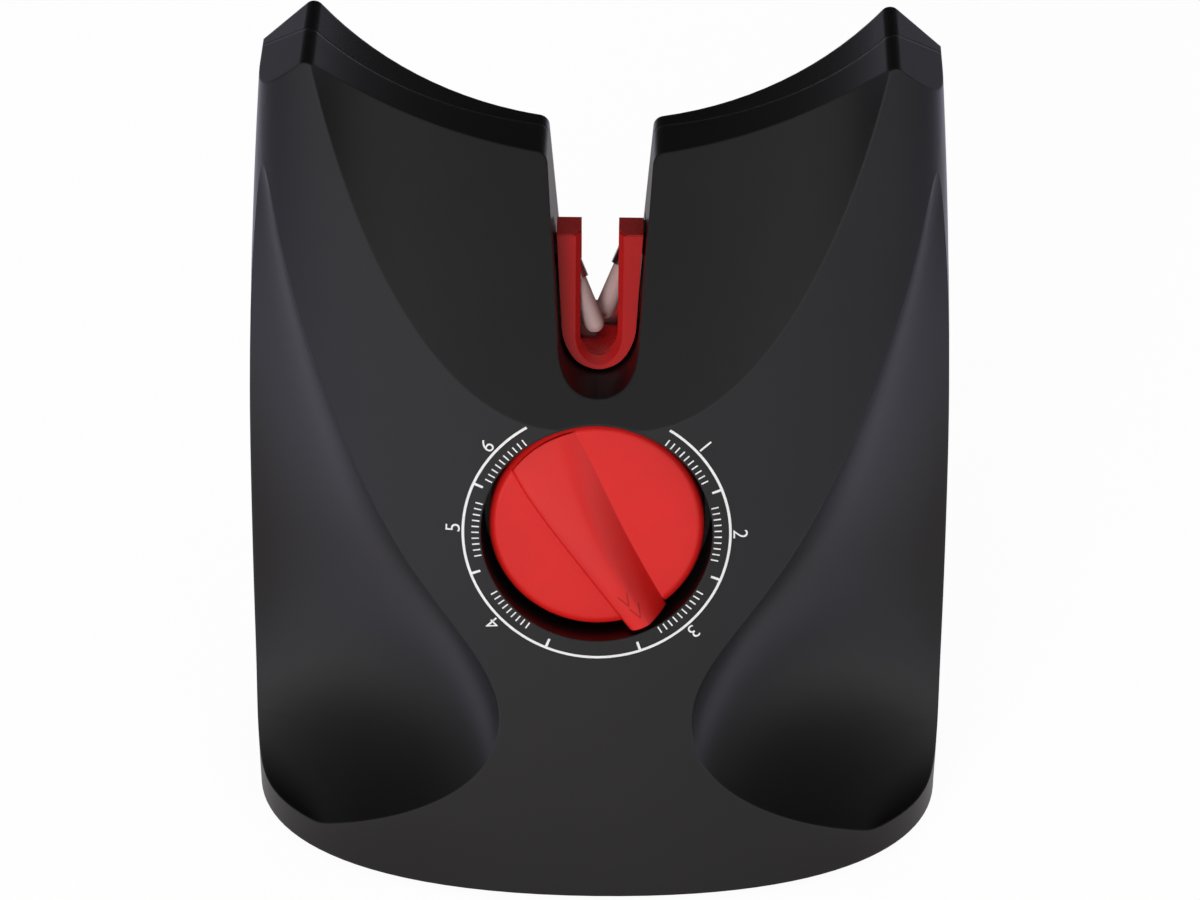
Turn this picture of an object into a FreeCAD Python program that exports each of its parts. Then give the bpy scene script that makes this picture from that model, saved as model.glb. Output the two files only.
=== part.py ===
"""Electric knife sharpener: a leaning housing with a knife slot between two horns,
a red U-shaped guide with two crossed ceramic rods, and a sunk rotary guide dial.

Millimetres. X to the right, Y towards the back, Z up. The origin is the middle of the
footprint, on the surface that the feet stand on.
"""
import FreeCAD, Part
import math
import os
from FreeCAD import Placement, Rotation, Vector

# Housing, outer form: three horizontal outlines, at the skirt, the waist and the crown
BASE_HALF_WIDTH = 66.9
WAIST_HALF_WIDTH = 66.7
CROWN_HALF_WIDTH = 61.2
WAIST_HEIGHT = 80.0
CROWN_HEIGHT = 168.0
DEPTH = 68.0
SKIRT_HEIGHT = 2.0
FACE_LEAN = 15.5
CROWN_FORWARD = 2.0
BASE_SIDE_DEPTH = 32.0
WAIST_SIDE_DEPTH = 19.5
CROWN_SIDE_DEPTH = 5.5
WALL = 2.5

# Crown: a hollow curve between two horn peaks
CROWN_RADIUS = 66.3
CROWN_LOW = 135.7
PEAK_HALF_WIDTH = 52.7
SHOULDER_DROP = 10.0
SHOULDER_HALF_WIDTH = 63.4
HORN_ROUND = 1.8

# Scooped shield round the slot
SCOOP_FOOT = 94.5
SCOOP_LEAN = 35.4
SCOOP_FLAT = 7.2
SCOOP_RADIUS = 51.3

# Knife slot
SLOT_FLOOR = 99.5
SLOT_HALF_TOP = 9.8
SLOT_HALF_LOW = 7.5
SLOT_LOW_HEIGHT = 107.0
CHUTE_START = 25.0
CHUTE_DROP = 10.0
MOUTH_ROUND = 2.2

# Parting line between front housing and rear cover, measured from the back
SEAM_MIDDLE = 3.0
SEAM_AT_PEAK = 10.4
SEAM_AT_SIDE = 1.5
SEAM_GAP = 0.12

# Dial recess and knob, depths measured square to the leaning face
DIAL_HEIGHT = 74.55
RECESS_RADIUS = 21.7
RECESS_DEPTH = 14.0
RECESS_WALL = 2.2
RECESS_FLOOR = 2.5
KNOB_RADIUS = 20.3
KNOB_FACE_DEPTH = 4.5
KNOB_BACK_GAP = 0.6
KNOB_WALL = 2.2
KNOB_HUB_RADIUS = 5.6
KNOB_RIM_ROUND = 1.6
HANDLE_TAIL_INSET = 1.0
# Along the grip from tail to tip: place, steep side's foot and crest, sloped side's crest
# and foot, rise above the knob's face
HANDLE_SECTIONS = (
    (-22.0, 7.8, 6.9, -4.0, -5.6, 0.1),
    (-11.0, 8.5, 7.7, -2.6, -5.3, 1.6),
    (0.0, 7.6, 6.5, -0.8, -4.3, 3.2),
    (11.0, 6.3, 5.0, 0.0, -3.7, 4.4),
    (22.5, 4.6, 3.4, -0.4, -3.4, 4.9),
)
HANDLE_TIP_RADIUS = 20.6

# Guide dial travel: the pointer's clock angle at rest and at its first and last numbers
REST_POINTER = 150.0
FIRST_POSITION = 45.0
LAST_POSITION = 315.0
POSITION_STEP = 45.0

# Dial shaft and the angle cam behind the recess
SHAFT_RADIUS = 3.0
BUSH_RADIUS = 5.0
BUSH_FLANGE = 6.6
RUNNING = 0.05
CAM_GAP = 0.8
CAM_RADIUS = 17.0
CAM_THICKNESS = 4.2
GROOVE_DEPTH = 2.0
GROOVE_MID = 12.0
CAM_LIFT = 5.0
NOTCH_RADIUS = 1.6
FOLLOWER_RADIUS = 1.2
GROOVE_PLAY = 0.15
GROOVE_BEYOND = 10.0
BUMP_RADIUS = 1.0
LEAF_GAP = 0.1
LEAF_THICKNESS = 0.6
LEAF_REACH = 13.0
LEAF_TIP = 9.0

# Micro switch beside the cam
SWITCH_GAP = 1.2
SWITCH_WIDTH = 5.8
SWITCH_LOW = 14.0
SWITCH_HIGH = 4.0
SWITCH_HEIGHT = 6.0

# Crosshead, its guide and the wedge that spreads the arms
CROSSHEAD_GAP = 0.5
CROSSHEAD_THICKNESS = 2.6
CROSSHEAD_HALF = 6.2
CROSSHEAD_FOOT = 9.6
NECK_HALF = 3.6
GUIDE_THICKNESS = 2.0
GUIDE_LOW = 3.0
GUIDE_HIGH = 16.0
GUIDE_SLIDE_GAP = 0.3
GUIDE_HALF = 24.0
WEDGE_LOW = 20.0
WEDGE_HIGH = 26.6
WEDGE_BACK = 30.0

# Red guide insert in the slot
INSERT_FLOOR = 101.6
INSERT_TOP = 120.5
INSERT_FRONT = 5.0
INSERT_REAR = 24.0
INSERT_LEAN = 34.8
INSERT_GAP_HALF = 3.5
INSERT_PLAY = 0.5
INSERT_BEVEL = 1.5
INSERT_WINDOW_TOP = 119.6

# Ceramic rods
ROD_RADIUS = 1.85
ROD_LENGTH = 13.5
ROD_LEAN = 30.0
ROD_SPLAY = 23.0
ROD_LOW_X = 0.9
ROD_LOW_Z = 104.7
ROD_LOW_Y = 12.2
ROD_SPACING = 4.5
FERRULE_WALL = 0.5
FERRULE_GRIP = 4.8
FERRULE_CAP = 0.8
STUD_RADIUS = 1.0
STUD_LENGTH = 1.8
ROD_ROOM = 0.7
FINGER_ROOM = 1.15

# Rod arms, hung from the shaker on either side of the slot
PIVOT_X = 14.5
PIVOT_Z = 115.7
PIVOT_RADIUS = 1.5
ARM_BOSS_RADIUS = 3.4
ARM_FRONT = 17.2
ARM_THICKNESS = 3.5
ARM_OUTER = 16.9
ARM_INNER = 13.2
TAIL_Z = 89.2
TAIL_X = 6.2
ROLLER_RADIUS = 2.0
ROLLER_WIDTH = 2.0
ROLLER_PIN = 0.8
EYE_STEP = 0.4
WEDGE_PLAY = 0.3
SWING_PER_TURN = 1.0 / 75.0

# Shaker plate and drive, in planes from front to back
CHASSIS_FRONT = 20.3
CHASSIS_REAR = 22.5
CHASSIS_HALF = 31.0
CHASSIS_LOW = 14.0
CHASSIS_HIGH = 82.0
SHAKER_FRONT = 26.6
SHAKER_REAR = 28.8
SHAKER_TRAVEL = 0.5
SHAKER_HALF = 9.5
SHAKER_LOW = 36.5
FORK_LOW = 79.0
FORK_INNER = 12.2
FORK_OUTER = 18.6
FORK_TOP = 119.6
GUIDE_PIN_RADIUS = 1.6
GUIDE_PIN_LOW = 68.0
GUIDE_PIN_HIGH = 77.5
CLIP_RADIUS = 3.0
CLIP_THICKNESS = 0.6

# Motor and reduction
MOTOR_Z = 30.0
MOTOR_RADIUS = 12.2
MOTOR_LENGTH = 31.0
CAN_WALL = 1.0
CAP_THICKNESS = 4.0
MOTOR_BOSS_RADIUS = 3.1
MOTOR_BOSS_LENGTH = 1.7
MOTOR_SHAFT_RADIUS = 1.0
MOTOR_SCREW_X = 8.4
TAB_X = 6.0
TAB_HALF = 1.2
TAB_LENGTH = 3.0
TAB_THICKNESS = 0.5
MODULE = 0.6
PINION_TEETH = 12
GEAR_TEETH = 48
GEAR_FRONT = 22.9
GEAR_THICKNESS = 2.6
AXLE_RADIUS = 1.5
ECCENTRIC_RADIUS = 4.5
ECCENTRIC_THROW = 0.6
YOKE_PLAY = 0.15

# Underside, fasteners and the power inlet
BASE_CLEARANCE = 0.2
BASE_LOW = 2.6
BASE_THICKNESS = 2.4
FOOT_RADIUS = 6.0
FOOT_SEAT = 1.0
FOOT_PLACES = ((50.0, 21.0), (31.0, -14.0))
BASE_SCREW_PLACES = ((57.0, 14.0), (14.0, -22.0))
BOSS_RADIUS = 3.4
BASE_BOSS_HEIGHT = 12.0
REAR_SCREW_PLACES = ((50.0, 22.0), (46.0, 118.0))
POST_PLACES = ((27.0, 24.0), (27.0, 74.0))
SCREW_RADIUS = 1.3
SCREW_CLEARANCE = 1.7
SCREW_HEAD_RADIUS = 2.9
SCREW_HEAD_DEPTH = 1.8
SCREW_LENGTH = 12.0
INLET_X = 42.0
BOARD_Z = 8.6
BOARD_THICKNESS = 1.6
BOARD_EDGES = (16.0, 52.0, 0.0, 29.0)
BOARD_POSTS = ((20.0, 4.0), (20.0, 25.0), (46.0, 4.0))
BOARD_POST_RADIUS = 2.2
# Place, radius and height; place, width, depth and height
ROUND_PARTS = ((45.5, 11.0, 4.0, 7.0), (37.5, 8.0, 3.2, 5.0))
SQUARE_PARTS = ((30.0, 13.0, 6.0, 5.0, 2.0), (21.5, 12.5, 7.0, 9.0, 7.0))
INLET_SIZE = (9.0, 13.5, 11.0)
INLET_BORE = 3.1

PARTS = "parts"


def save(shape, name):
    shape.exportStep(os.path.join(PARTS, name + ".step"))
    bad = [s for s in shape.Solids if not s.isValid()]
    box = shape.BoundBox
    print("%-20s solids %2d  volume %9.1f  bad %d  box %.1f %.1f %.1f  %.1f %.1f %.1f" % (
        name, len(shape.Solids), shape.Volume, len(bad),
        box.XMin, box.YMin, box.ZMin, box.XMax, box.YMax, box.ZMax))


def block(x0, x1, y0, y1, z0, z1):
    return Part.makeBox(x1 - x0, y1 - y0, z1 - z0, Vector(x0, y0, z0))


def rod(start, axis, radius, length):
    return Part.makeCylinder(radius, length, start, axis)


def plate(points, direction):
    """A closed outline of points, swept along direction."""
    wire = Part.makePolygon([Vector(*p) for p in points + points[:1]])
    return Part.Face(wire).extrude(direction)


def mirrored(shape):
    return shape.mirror(Vector(0, 0, 0), Vector(1, 0, 0))


REAR = DEPTH / 2
TOE = -DEPTH / 2
LEAN = math.radians(FACE_LEAN)
SCOOP = math.radians(SCOOP_LEAN)


def along(z, base, waist, crown):
    """A size that changes smoothly through its values at the three outlines."""
    heights = (SKIRT_HEIGHT, WAIST_HEIGHT, CROWN_HEIGHT)
    total = 0
    for i, value in enumerate((base, waist, crown)):
        for j in range(3):
            if j != i:
                value = value * (z - heights[j]) / (heights[i] - heights[j])
        total += value
    return total


def face_y(z):
    """Depth of the leaning face on the middle line."""
    return TOE + (z - SKIRT_HEIGHT) * math.tan(LEAN) - along(z, 0, 0, CROWN_FORWARD)


def half_width(z):
    return along(z, BASE_HALF_WIDTH, WAIST_HALF_WIDTH, CROWN_HALF_WIDTH)


def front_poles(z, inset):
    """Right half of the front outline at one height, as a cubic curve."""
    half = half_width(z) - inset
    y0 = face_y(z) + inset / math.cos(LEAN)
    y1 = REAR - along(z, BASE_SIDE_DEPTH, WAIST_SIDE_DEPTH, CROWN_SIDE_DEPTH)
    reach = along(z, 0.69, 0.85, 1.0)
    tuck = along(z, 0.56, 0.72, 0.72)
    return [(0, y0), (reach * half, y0), (half, y1 - tuck * (y1 - y0)), (half, y1)]


def front_point(x, z):
    """Y of the front surface at a place across and up."""
    poles = front_poles(z, 0)
    low, high = 0.0, 1.0
    for _ in range(40):
        t = (low + high) / 2
        s = 1 - t
        weights = (s ** 3, 3 * s * s * t, 3 * s * t * t, t ** 3)
        if sum(w * p[0] for w, p in zip(weights, poles)) < x:
            low = t
        else:
            high = t
    return sum(w * p[1] for w, p in zip(weights, poles))


def outline(z, inset):
    """Closed horizontal outline of the housing at one height."""
    right = front_poles(z, inset)
    half = right[3][0]
    rear = REAR - inset
    curve = Part.BezierCurve()
    curve.setPoles([Vector(x, y, z) for x, y in right])
    left = Part.BezierCurve()
    left.setPoles([Vector(-x, y, z) for x, y in reversed(right)])
    corners = [Vector(half, right[3][1], z), Vector(half, rear, z),
               Vector(-half, rear, z), Vector(-half, right[3][1], z)]
    edges = [curve.toShape()]
    edges += [Part.makeLine(corners[i], corners[i + 1]) for i in range(3)]
    edges.append(left.toShape())
    return Part.Wire(edges)


def body_loft(inset, bottom):
    middle = (SKIRT_HEIGHT + WAIST_HEIGHT) / 2
    upper = (WAIST_HEIGHT + CROWN_HEIGHT) / 2
    heights = (bottom, middle, WAIST_HEIGHT, upper, CROWN_HEIGHT)
    return Part.makeLoft([outline(z, inset) for z in heights], True, False)


def scoop_cutter(grow):
    """Hollow tunnel that leans back and makes the shield round the slot."""
    radius = SCOOP_RADIUS + grow
    crest = face_y(SCOOP_FOOT) + grow / math.cos(SCOOP)
    centre = crest - radius
    front = centre - 60
    z = SCOOP_FOOT
    a = Vector(-SCOOP_FLAT - radius, front, z)
    b = Vector(-SCOOP_FLAT - radius, centre, z)
    c = Vector(-SCOOP_FLAT, crest, z)
    d = Vector(SCOOP_FLAT, crest, z)
    e = Vector(SCOOP_FLAT + radius, centre, z)
    f = Vector(SCOOP_FLAT + radius, front, z)
    bend = radius * math.sqrt(0.5)
    left = Part.Arc(b, Vector(-SCOOP_FLAT - bend, centre + bend, z), c).toShape()
    right = Part.Arc(d, Vector(SCOOP_FLAT + bend, centre + bend, z), e).toShape()
    wire = Part.Wire([Part.makeLine(a, b), left, Part.makeLine(c, d), right,
                      Part.makeLine(e, f), Part.makeLine(f, a)])
    upward = Vector(0, math.sin(SCOOP), math.cos(SCOOP))
    face = Part.Face(wire)
    face.translate(upward * -25)
    return face.extrude(upward * 140)


def crown_cutter(grow):
    """Everything above the hollow crown and the outer shoulders."""
    centre = CROWN_LOW + CROWN_RADIUS
    radius = CROWN_RADIUS + grow
    peak = centre - math.sqrt(radius ** 2 - PEAK_HALF_WIDTH ** 2)
    run = SHOULDER_HALF_WIDTH - PEAK_HALF_WIDTH
    slope = SHOULDER_DROP / run
    far = 90.0
    low = peak - slope * (far - PEAK_HALF_WIDTH)
    y = TOE - 30
    arc = Part.Arc(Vector(-PEAK_HALF_WIDTH, y, peak), Vector(0, y, centre - radius),
                   Vector(PEAK_HALF_WIDTH, y, peak)).toShape()
    top = CROWN_HEIGHT + 40
    points = [(PEAK_HALF_WIDTH, peak), (far, low), (far, top), (-far, top), (-far, low),
              (-PEAK_HALF_WIDTH, peak)]
    lines = []
    for i in range(len(points) - 1):
        a, b = points[i], points[i + 1]
        lines.append(Part.makeLine(Vector(a[0], y, a[1]), Vector(b[0], y, b[1])))
    cutter = Part.Face(Part.Wire([arc] + lines)).extrude(Vector(0, DEPTH + 60, 0))
    return round_edges(cutter, HORN_ROUND, lambda e: e.BoundBox.DiagonalLength == e.BoundBox.YLength
                       and abs(abs(e.BoundBox.Center.x) - PEAK_HALF_WIDTH) < 0.1)


def slot_profile(y, grow, floor):
    """U-shaped slot outline in the plane at one depth."""
    top = CROWN_LOW + 12
    spread = (SLOT_HALF_TOP - SLOT_HALF_LOW) / (CROWN_LOW - SLOT_LOW_HEIGHT)
    half_top = SLOT_HALF_TOP + grow + spread * (top - CROWN_LOW)
    half_low = SLOT_HALF_LOW + grow
    low = SLOT_LOW_HEIGHT
    base = floor - grow
    right = Part.BezierCurve()
    pull = 0.62 * (low - base)
    right.setPoles([Vector(half_low, y, low), Vector(half_low - spread * pull, y, low - pull),
                    Vector(half_low * 0.6, y, base), Vector(0, y, base)])
    left = Part.BezierCurve()
    left.setPoles([Vector(0, y, base), Vector(-half_low * 0.6, y, base),
                   Vector(-half_low + spread * pull, y, low - pull), Vector(-half_low, y, low)])
    edges = [Part.makeLine(Vector(half_top, y, top), Vector(half_low, y, low)),
             right.toShape(), left.toShape(),
             Part.makeLine(Vector(-half_low, y, low), Vector(-half_top, y, top)),
             Part.makeLine(Vector(-half_top, y, top), Vector(half_top, y, top))]
    return Part.Wire(edges)


def slot_cutter(grow):
    """The slot, level at the front and falling away as a chute at the back."""
    front = TOE
    level = Part.Face(slot_profile(front, grow, SLOT_FLOOR)).extrude(Vector(0, DEPTH + 10, 0))
    run = REAR - CHUTE_START
    beyond = 6.0
    drop = CHUTE_DROP * (run + beyond) / run
    half = SLOT_HALF_LOW - 0.8 + grow
    base = SLOT_FLOOR - grow
    chute = plate([(-half, CHUTE_START, base), (-half, REAR + beyond, base - drop),
                   (-half, REAR + beyond, SLOT_LOW_HEIGHT - 1), (-half, CHUTE_START, SLOT_LOW_HEIGHT - 1)],
                  Vector(2 * half, 0, 0))
    return level.fuse(chute)


# Finger hollow in each flank: height, half width of its crease on the face, depth at which
# it runs out on the side, how far it bows in, and how far its arc stands off the body.
HOLLOW = (
    (8.0, 50.0, -8.0, 2.6, 3.2),
    (14.0, 41.0, 0.0, 4.0, -0.3),
    (20.0, 29.5, 4.0, 6.5, 0.0),
    (28.0, 21.0, 7.0, 9.0, 0.0),
    (37.0, 18.2, 9.0, 10.5, 0.0),
    (46.0, 20.5, 10.5, 11.0, 0.0),
    (57.0, 27.9, 12.0, 10.2, 0.0),
    (70.0, 37.0, 13.0, 8.4, 0.0),
    (85.0, 44.8, 13.5, 6.2, 0.0),
    (102.0, 51.2, 14.0, 4.0, 0.4),
    (122.0, 56.2, 15.0, 2.6, 1.7),
    (145.0, 57.5, 20.0, 2.4, 4.5),
)


def hollow_cutter(grow):
    wires = []
    for z, crease, side, bow, off in HOLLOW:
        a = Vector(-crease, front_point(crease, z), z)
        b = Vector(-half_width(z), side, z)
        chord = b - a
        reach = chord.Length / 2
        radius = (reach ** 2 + bow ** 2) / (2 * bow)
        outward = Vector(chord.y, -chord.x, 0)
        outward.normalize()
        if outward.x > 0:
            outward = outward * -1
        centre = (a + b) * 0.5 + outward * (radius - bow + off)
        wires.append(Part.Wire(Part.makeCircle(radius + grow, centre, Vector(0, 0, 1))))
    return Part.makeLoft(wires, True, False)


def housing_form(grow, bottom):
    """Outer form of the whole housing, or with grow the space inside its wall."""
    form = body_loft(grow, bottom)
    form = form.cut(scoop_cutter(grow))
    form = form.cut(crown_cutter(grow))
    form = form.cut(slot_cutter(grow))
    hollow = hollow_cutter(grow)
    form = form.cut(hollow)
    form = form.cut(mirrored(hollow))
    return form


def dial_frame():
    """Placement whose Z points out of the face along the dial's axis, Y up the face."""
    origin = Vector(0, face_y(DIAL_HEIGHT), DIAL_HEIGHT)
    return Placement(origin, Rotation(Vector(1, 0, 0), 90 - FACE_LEAN))


def on_dial(shape):
    """Move a shape drawn on the dial's face plane into its place."""
    placed = shape.copy()
    placed.Placement = dial_frame().multiply(placed.Placement)
    return placed


def disc(radius, shallow, deep, x=0.0, y=0.0):
    """Cylinder between two depths below the face, in the dial's own frame."""
    return rod(Vector(x, y, -deep), Vector(0, 0, 1), radius, deep - shallow)


def slab(x0, x1, y0, y1, shallow, deep):
    return block(x0, x1, y0, y1, -deep, -shallow)


def clock(degrees, radius):
    """A place on the dial's face at a clock angle from the top."""
    angle = math.radians(degrees)
    return Vector(radius * math.sin(angle), radius * math.cos(angle), 0)


def joined(shapes):
    """One solid from overlapping pieces."""
    return shapes[0].fuse(shapes[1:]).removeSplitter()


def four(places):
    """Places mirrored to both sides."""
    return [(side * x, y) for x, y in places for side in (1, -1)]


# Depths behind the face
RECESS_BACK = RECESS_DEPTH + RECESS_FLOOR
CAM_FRONT = RECESS_BACK + CAM_GAP
CAM_BACK = CAM_FRONT + CAM_THICKNESS
CROSSHEAD_FRONT = CAM_BACK + CROSSHEAD_GAP
CROSSHEAD_BACK = CROSSHEAD_FRONT + CROSSHEAD_THICKNESS
GUIDE_FRONT = CROSSHEAD_BACK + GUIDE_SLIDE_GAP
GUIDE_BACK = GUIDE_FRONT + GUIDE_THICKNESS
KNOB_BACK = RECESS_DEPTH - KNOB_BACK_GAP
CUP_RADIUS = RECESS_RADIUS + RECESS_WALL
GUIDE_POSTS = ((20.5, 5.5), (17.0, 14.0))
GUIDE_POST_RADIUS = 2.3

# Heights of the drive
CENTRE_DISTANCE = MODULE * (PINION_TEETH + GEAR_TEETH) / 2
GEAR_Z = MOTOR_Z + CENTRE_DISTANCE
GEAR_REAR = GEAR_FRONT + GEAR_THICKNESS


def rod_line(side):
    """Lower centre and upward direction of a rod; side is -1 for left, 1 for right."""
    y = ROD_LOW_Y if side < 0 else ROD_LOW_Y + ROD_SPACING
    splay = math.radians(ROD_SPLAY)
    lean = math.radians(ROD_LEAN)
    way = Vector(side * math.sin(splay), math.cos(splay) * math.sin(lean),
                 math.cos(splay) * math.cos(lean))
    return Vector(side * ROD_LOW_X, y, ROD_LOW_Z), way


def arm_window(side, half_thick, reach):
    """Room for one rod, its ferrule and its arm through the insert and the slot wall."""
    low, way = rod_line(side)
    lean = math.radians(ROD_LEAN)
    up = Vector(0, math.sin(lean), math.cos(lean))
    square = Vector(0, math.cos(lean), -math.sin(lean))
    start = low - up * half_thick - square * half_thick
    x0, x1 = sorted((side * 0.5, side * reach))
    corners = [start, start + square * 2 * half_thick]
    length = (INSERT_WINDOW_TOP - low.z) / math.cos(lean) + 4
    corners += [corners[1] + up * length, start + up * length]
    sheet = plate([(x0, c.y, c.z) for c in corners], Vector(x1 - x0, 0, 0))
    y0, y1 = finger_depths(side)
    finger = block(x0, x1, y0 - ROD_ROOM, y1 + ROD_ROOM, PIVOT_Z - FINGER_ROOM, INSERT_WINDOW_TOP)
    room = sheet.fuse(finger)
    top = block(x0 - 1, x1 + 1, -50, 60, INSERT_WINDOW_TOP, INSERT_WINDOW_TOP + 30)
    return room.cut(top)


def finger_depths(side):
    """Front and back of the arm finger that holds a rod."""
    low, way = rod_line(side)
    end = low + way * (ROD_LENGTH + FERRULE_CAP)
    half = ROD_RADIUS + FERRULE_WALL - 0.25
    return end.y + 1.0 - half, end.y + 1.0 + half


def seam_region(grow):
    """Space behind the parting surface, which bows back in the middle."""
    y = REAR + 20
    peak = Vector(PEAK_HALF_WIDTH, REAR - SEAM_AT_PEAK - grow, -10)
    side = Vector(SHOULDER_HALF_WIDTH, REAR - SEAM_AT_SIDE - grow, -10)
    out = Vector(side.x + 20, side.y, -10)
    far = Vector(out.x, y, -10)
    middle = Vector(0, REAR - SEAM_MIDDLE - grow, -10)
    other = [Vector(-v.x, v.y, v.z) for v in (peak, side, out, far)]
    edges = [Part.Arc(other[0], middle, peak).toShape()]
    loop = [peak, side, out, far, other[3], other[2], other[1], other[0]]
    edges += [Part.makeLine(loop[i], loop[i + 1]) for i in range(len(loop) - 1)]
    return Part.Face(Part.Wire(edges)).extrude(Vector(0, 0, CROWN_HEIGHT + 40))


def screw(head, way, length):
    """Pan-head screw whose head starts at a point and whose shank runs along way."""
    cap = rod(head, way, SCREW_HEAD_RADIUS, SCREW_HEAD_DEPTH)
    shank = rod(head + way * SCREW_HEAD_DEPTH, way, SCREW_RADIUS, length)
    tip = Part.makeCone(SCREW_RADIUS, 0.3, 1.4, head + way * (SCREW_HEAD_DEPTH + length), way)
    return joined([cap, shank, tip])


def round_edges(shape, radius, wanted):
    """Fillet the edges for which wanted says yes."""
    return shape.makeFillet(radius, [e for e in shape.Edges if wanted(e)])


def outer_form():
    """The housing's outside, with the slot's mouth and the horn ridges rounded."""
    form = housing_form(0, SKIRT_HEIGHT)

    def at_mouth(edge):
        box = edge.BoundBox
        return (box.XLength < 1 and box.YLength > 8
                and abs(abs(box.Center.x) - SLOT_HALF_TOP) < 1.5 and box.ZMin > CROWN_LOW - 3)

    return round_edges(form, MOUTH_ROUND, at_mouth)


def housing_shells():
    """Front housing and rear cover, split along the parting surface."""
    outside = outer_form()
    inside = housing_form(WALL, SKIRT_HEIGHT - 1)
    shell = outside.cut(inside)
    cup = on_dial(disc(CUP_RADIUS, -10, RECESS_BACK)).common(outside)
    posts = [on_dial(disc(GUIDE_POST_RADIUS, RECESS_BACK - 1, GUIDE_FRONT, x, y))
             for x, y in four(GUIDE_POSTS)]
    bosses = []
    for x, z in four(REAR_SCREW_PLACES):
        bosses.append(rod(Vector(x, TOE, z), Vector(0, 1, 0), BOSS_RADIUS, DEPTH).common(inside))
    floor = BASE_LOW + BASE_THICKNESS
    for x, y in four(BASE_SCREW_PLACES):
        column = rod(Vector(x, y, floor), Vector(0, 0, 1), BOSS_RADIUS, BASE_BOSS_HEIGHT)
        if abs(x) > abs(y) + 10:
            rib = block(min(x, math.copysign(80, x)), max(x, math.copysign(80, x)), y - 1, y + 1,
                        floor, floor + BASE_BOSS_HEIGHT)
        else:
            rib = block(x - 1, x + 1, TOE, y, floor, floor + BASE_BOSS_HEIGHT)
        bosses.append(column.fuse(rib).common(inside))
    shell = shell.fuse([cup] + bosses + posts)
    recess = on_dial(disc(RECESS_RADIUS, -20, RECESS_DEPTH))
    shaft = on_dial(disc(BUSH_RADIUS, RECESS_DEPTH - 1, RECESS_BACK + 1))
    shell = shell.cut([recess, shaft])
    wall = SLOT_HALF_TOP + WALL + 3
    for side in (-1, 1):
        shell = shell.cut(arm_window(side, ROD_RADIUS + FERRULE_WALL + ROD_ROOM, wall))
    holes = [on_dial(disc(SCREW_RADIUS, RECESS_BACK, GUIDE_FRONT + 1, x, y))
             for x, y in four(GUIDE_POSTS)]
    for x, y in four(BASE_SCREW_PLACES):
        holes.append(rod(Vector(x, y, 0), Vector(0, 0, 1), SCREW_RADIUS, floor + SCREW_LENGTH))
    shell = shell.cut(holes)
    behind = seam_region(0)
    front = shell.cut(seam_region(SEAM_GAP))
    rear = shell.common(behind)
    inner_back = REAR - WALL
    posts = [rod(Vector(x, CHASSIS_REAR, z), Vector(0, 1, 0), BOSS_RADIUS, inner_back - CHASSIS_REAR + 1)
             for x, z in four(POST_PLACES)]
    rear = rear.fuse(posts)
    cuts = []
    seat = REAR - SCREW_HEAD_DEPTH - 1.2
    for x, z in four(REAR_SCREW_PLACES):
        cuts.append(rod(Vector(x, seat, z), Vector(0, 1, 0), SCREW_HEAD_RADIUS + 0.3, 10))
        cuts.append(rod(Vector(x, 0, z), Vector(0, 1, 0), SCREW_CLEARANCE, REAR))
        front = front.cut(rod(Vector(x, seat - 20, z), Vector(0, 1, 0), SCREW_RADIUS, 30))
    for x, z in four(POST_PLACES):
        cuts.append(rod(Vector(x, 0, z), Vector(0, 1, 0), SCREW_RADIUS, CHASSIS_REAR + 7))
    cuts.append(rod(Vector(INLET_X, REAR - 5, inlet_height()), Vector(0, 1, 0), INLET_BORE + 1.4, 10))
    rear = rear.cut(cuts)
    return front, rear


def inlet_height():
    return BOARD_Z + BOARD_THICKNESS + INLET_SIZE[2] / 2


def base_plate():
    """Bottom closure: a plate that drops inside the skirt, with seats for the feet."""
    form = body_loft(WALL + BASE_CLEARANCE, SKIRT_HEIGHT - 1)
    layer = form.common(block(-BASE_HALF_WIDTH, BASE_HALF_WIDTH, TOE, REAR,
                              BASE_LOW, BASE_LOW + BASE_THICKNESS))
    cuts = [rod(Vector(x, y, 0), Vector(0, 0, 1), FOOT_RADIUS + 0.1, BASE_LOW + FOOT_SEAT)
            for x, y in four(FOOT_PLACES)]
    for x, y in four(BASE_SCREW_PLACES):
        cuts.append(rod(Vector(x, y, 0), Vector(0, 0, 1), SCREW_CLEARANCE, 20))
        cuts.append(rod(Vector(x, y, 0), Vector(0, 0, 1), SCREW_HEAD_RADIUS + 0.2, BASE_LOW + 1.0))
    layer = layer.cut(cuts)
    posts = []
    for x, y in BOARD_POSTS:
        posts.append(rod(Vector(x, y, BASE_LOW + BASE_THICKNESS - 0.5), Vector(0, 0, 1),
                         BOARD_POST_RADIUS, BOARD_Z - BASE_LOW - BASE_THICKNESS + 0.5))
    return joined([layer] + posts)


def rubber_feet():
    feet = []
    for x, y in four(FOOT_PLACES):
        foot = rod(Vector(x, y, 0), Vector(0, 0, 1), FOOT_RADIUS, BASE_LOW + FOOT_SEAT)
        low = [e for e in foot.Edges if e.BoundBox.ZMax < 0.01]
        feet.append(foot.makeChamfer(0.5, low))
    return Part.makeCompound(feet)


def base_screws():
    return Part.makeCompound([screw(Vector(x, y, BASE_LOW + 1.0 - SCREW_HEAD_DEPTH), Vector(0, 0, 1),
                                    8.0) for x, y in four(BASE_SCREW_PLACES)])


def rear_screws():
    seat = REAR - 1.2
    return Part.makeCompound([screw(Vector(x, seat, z), Vector(0, -1, 0), 16.0)
                              for x, z in four(REAR_SCREW_PLACES)])


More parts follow.
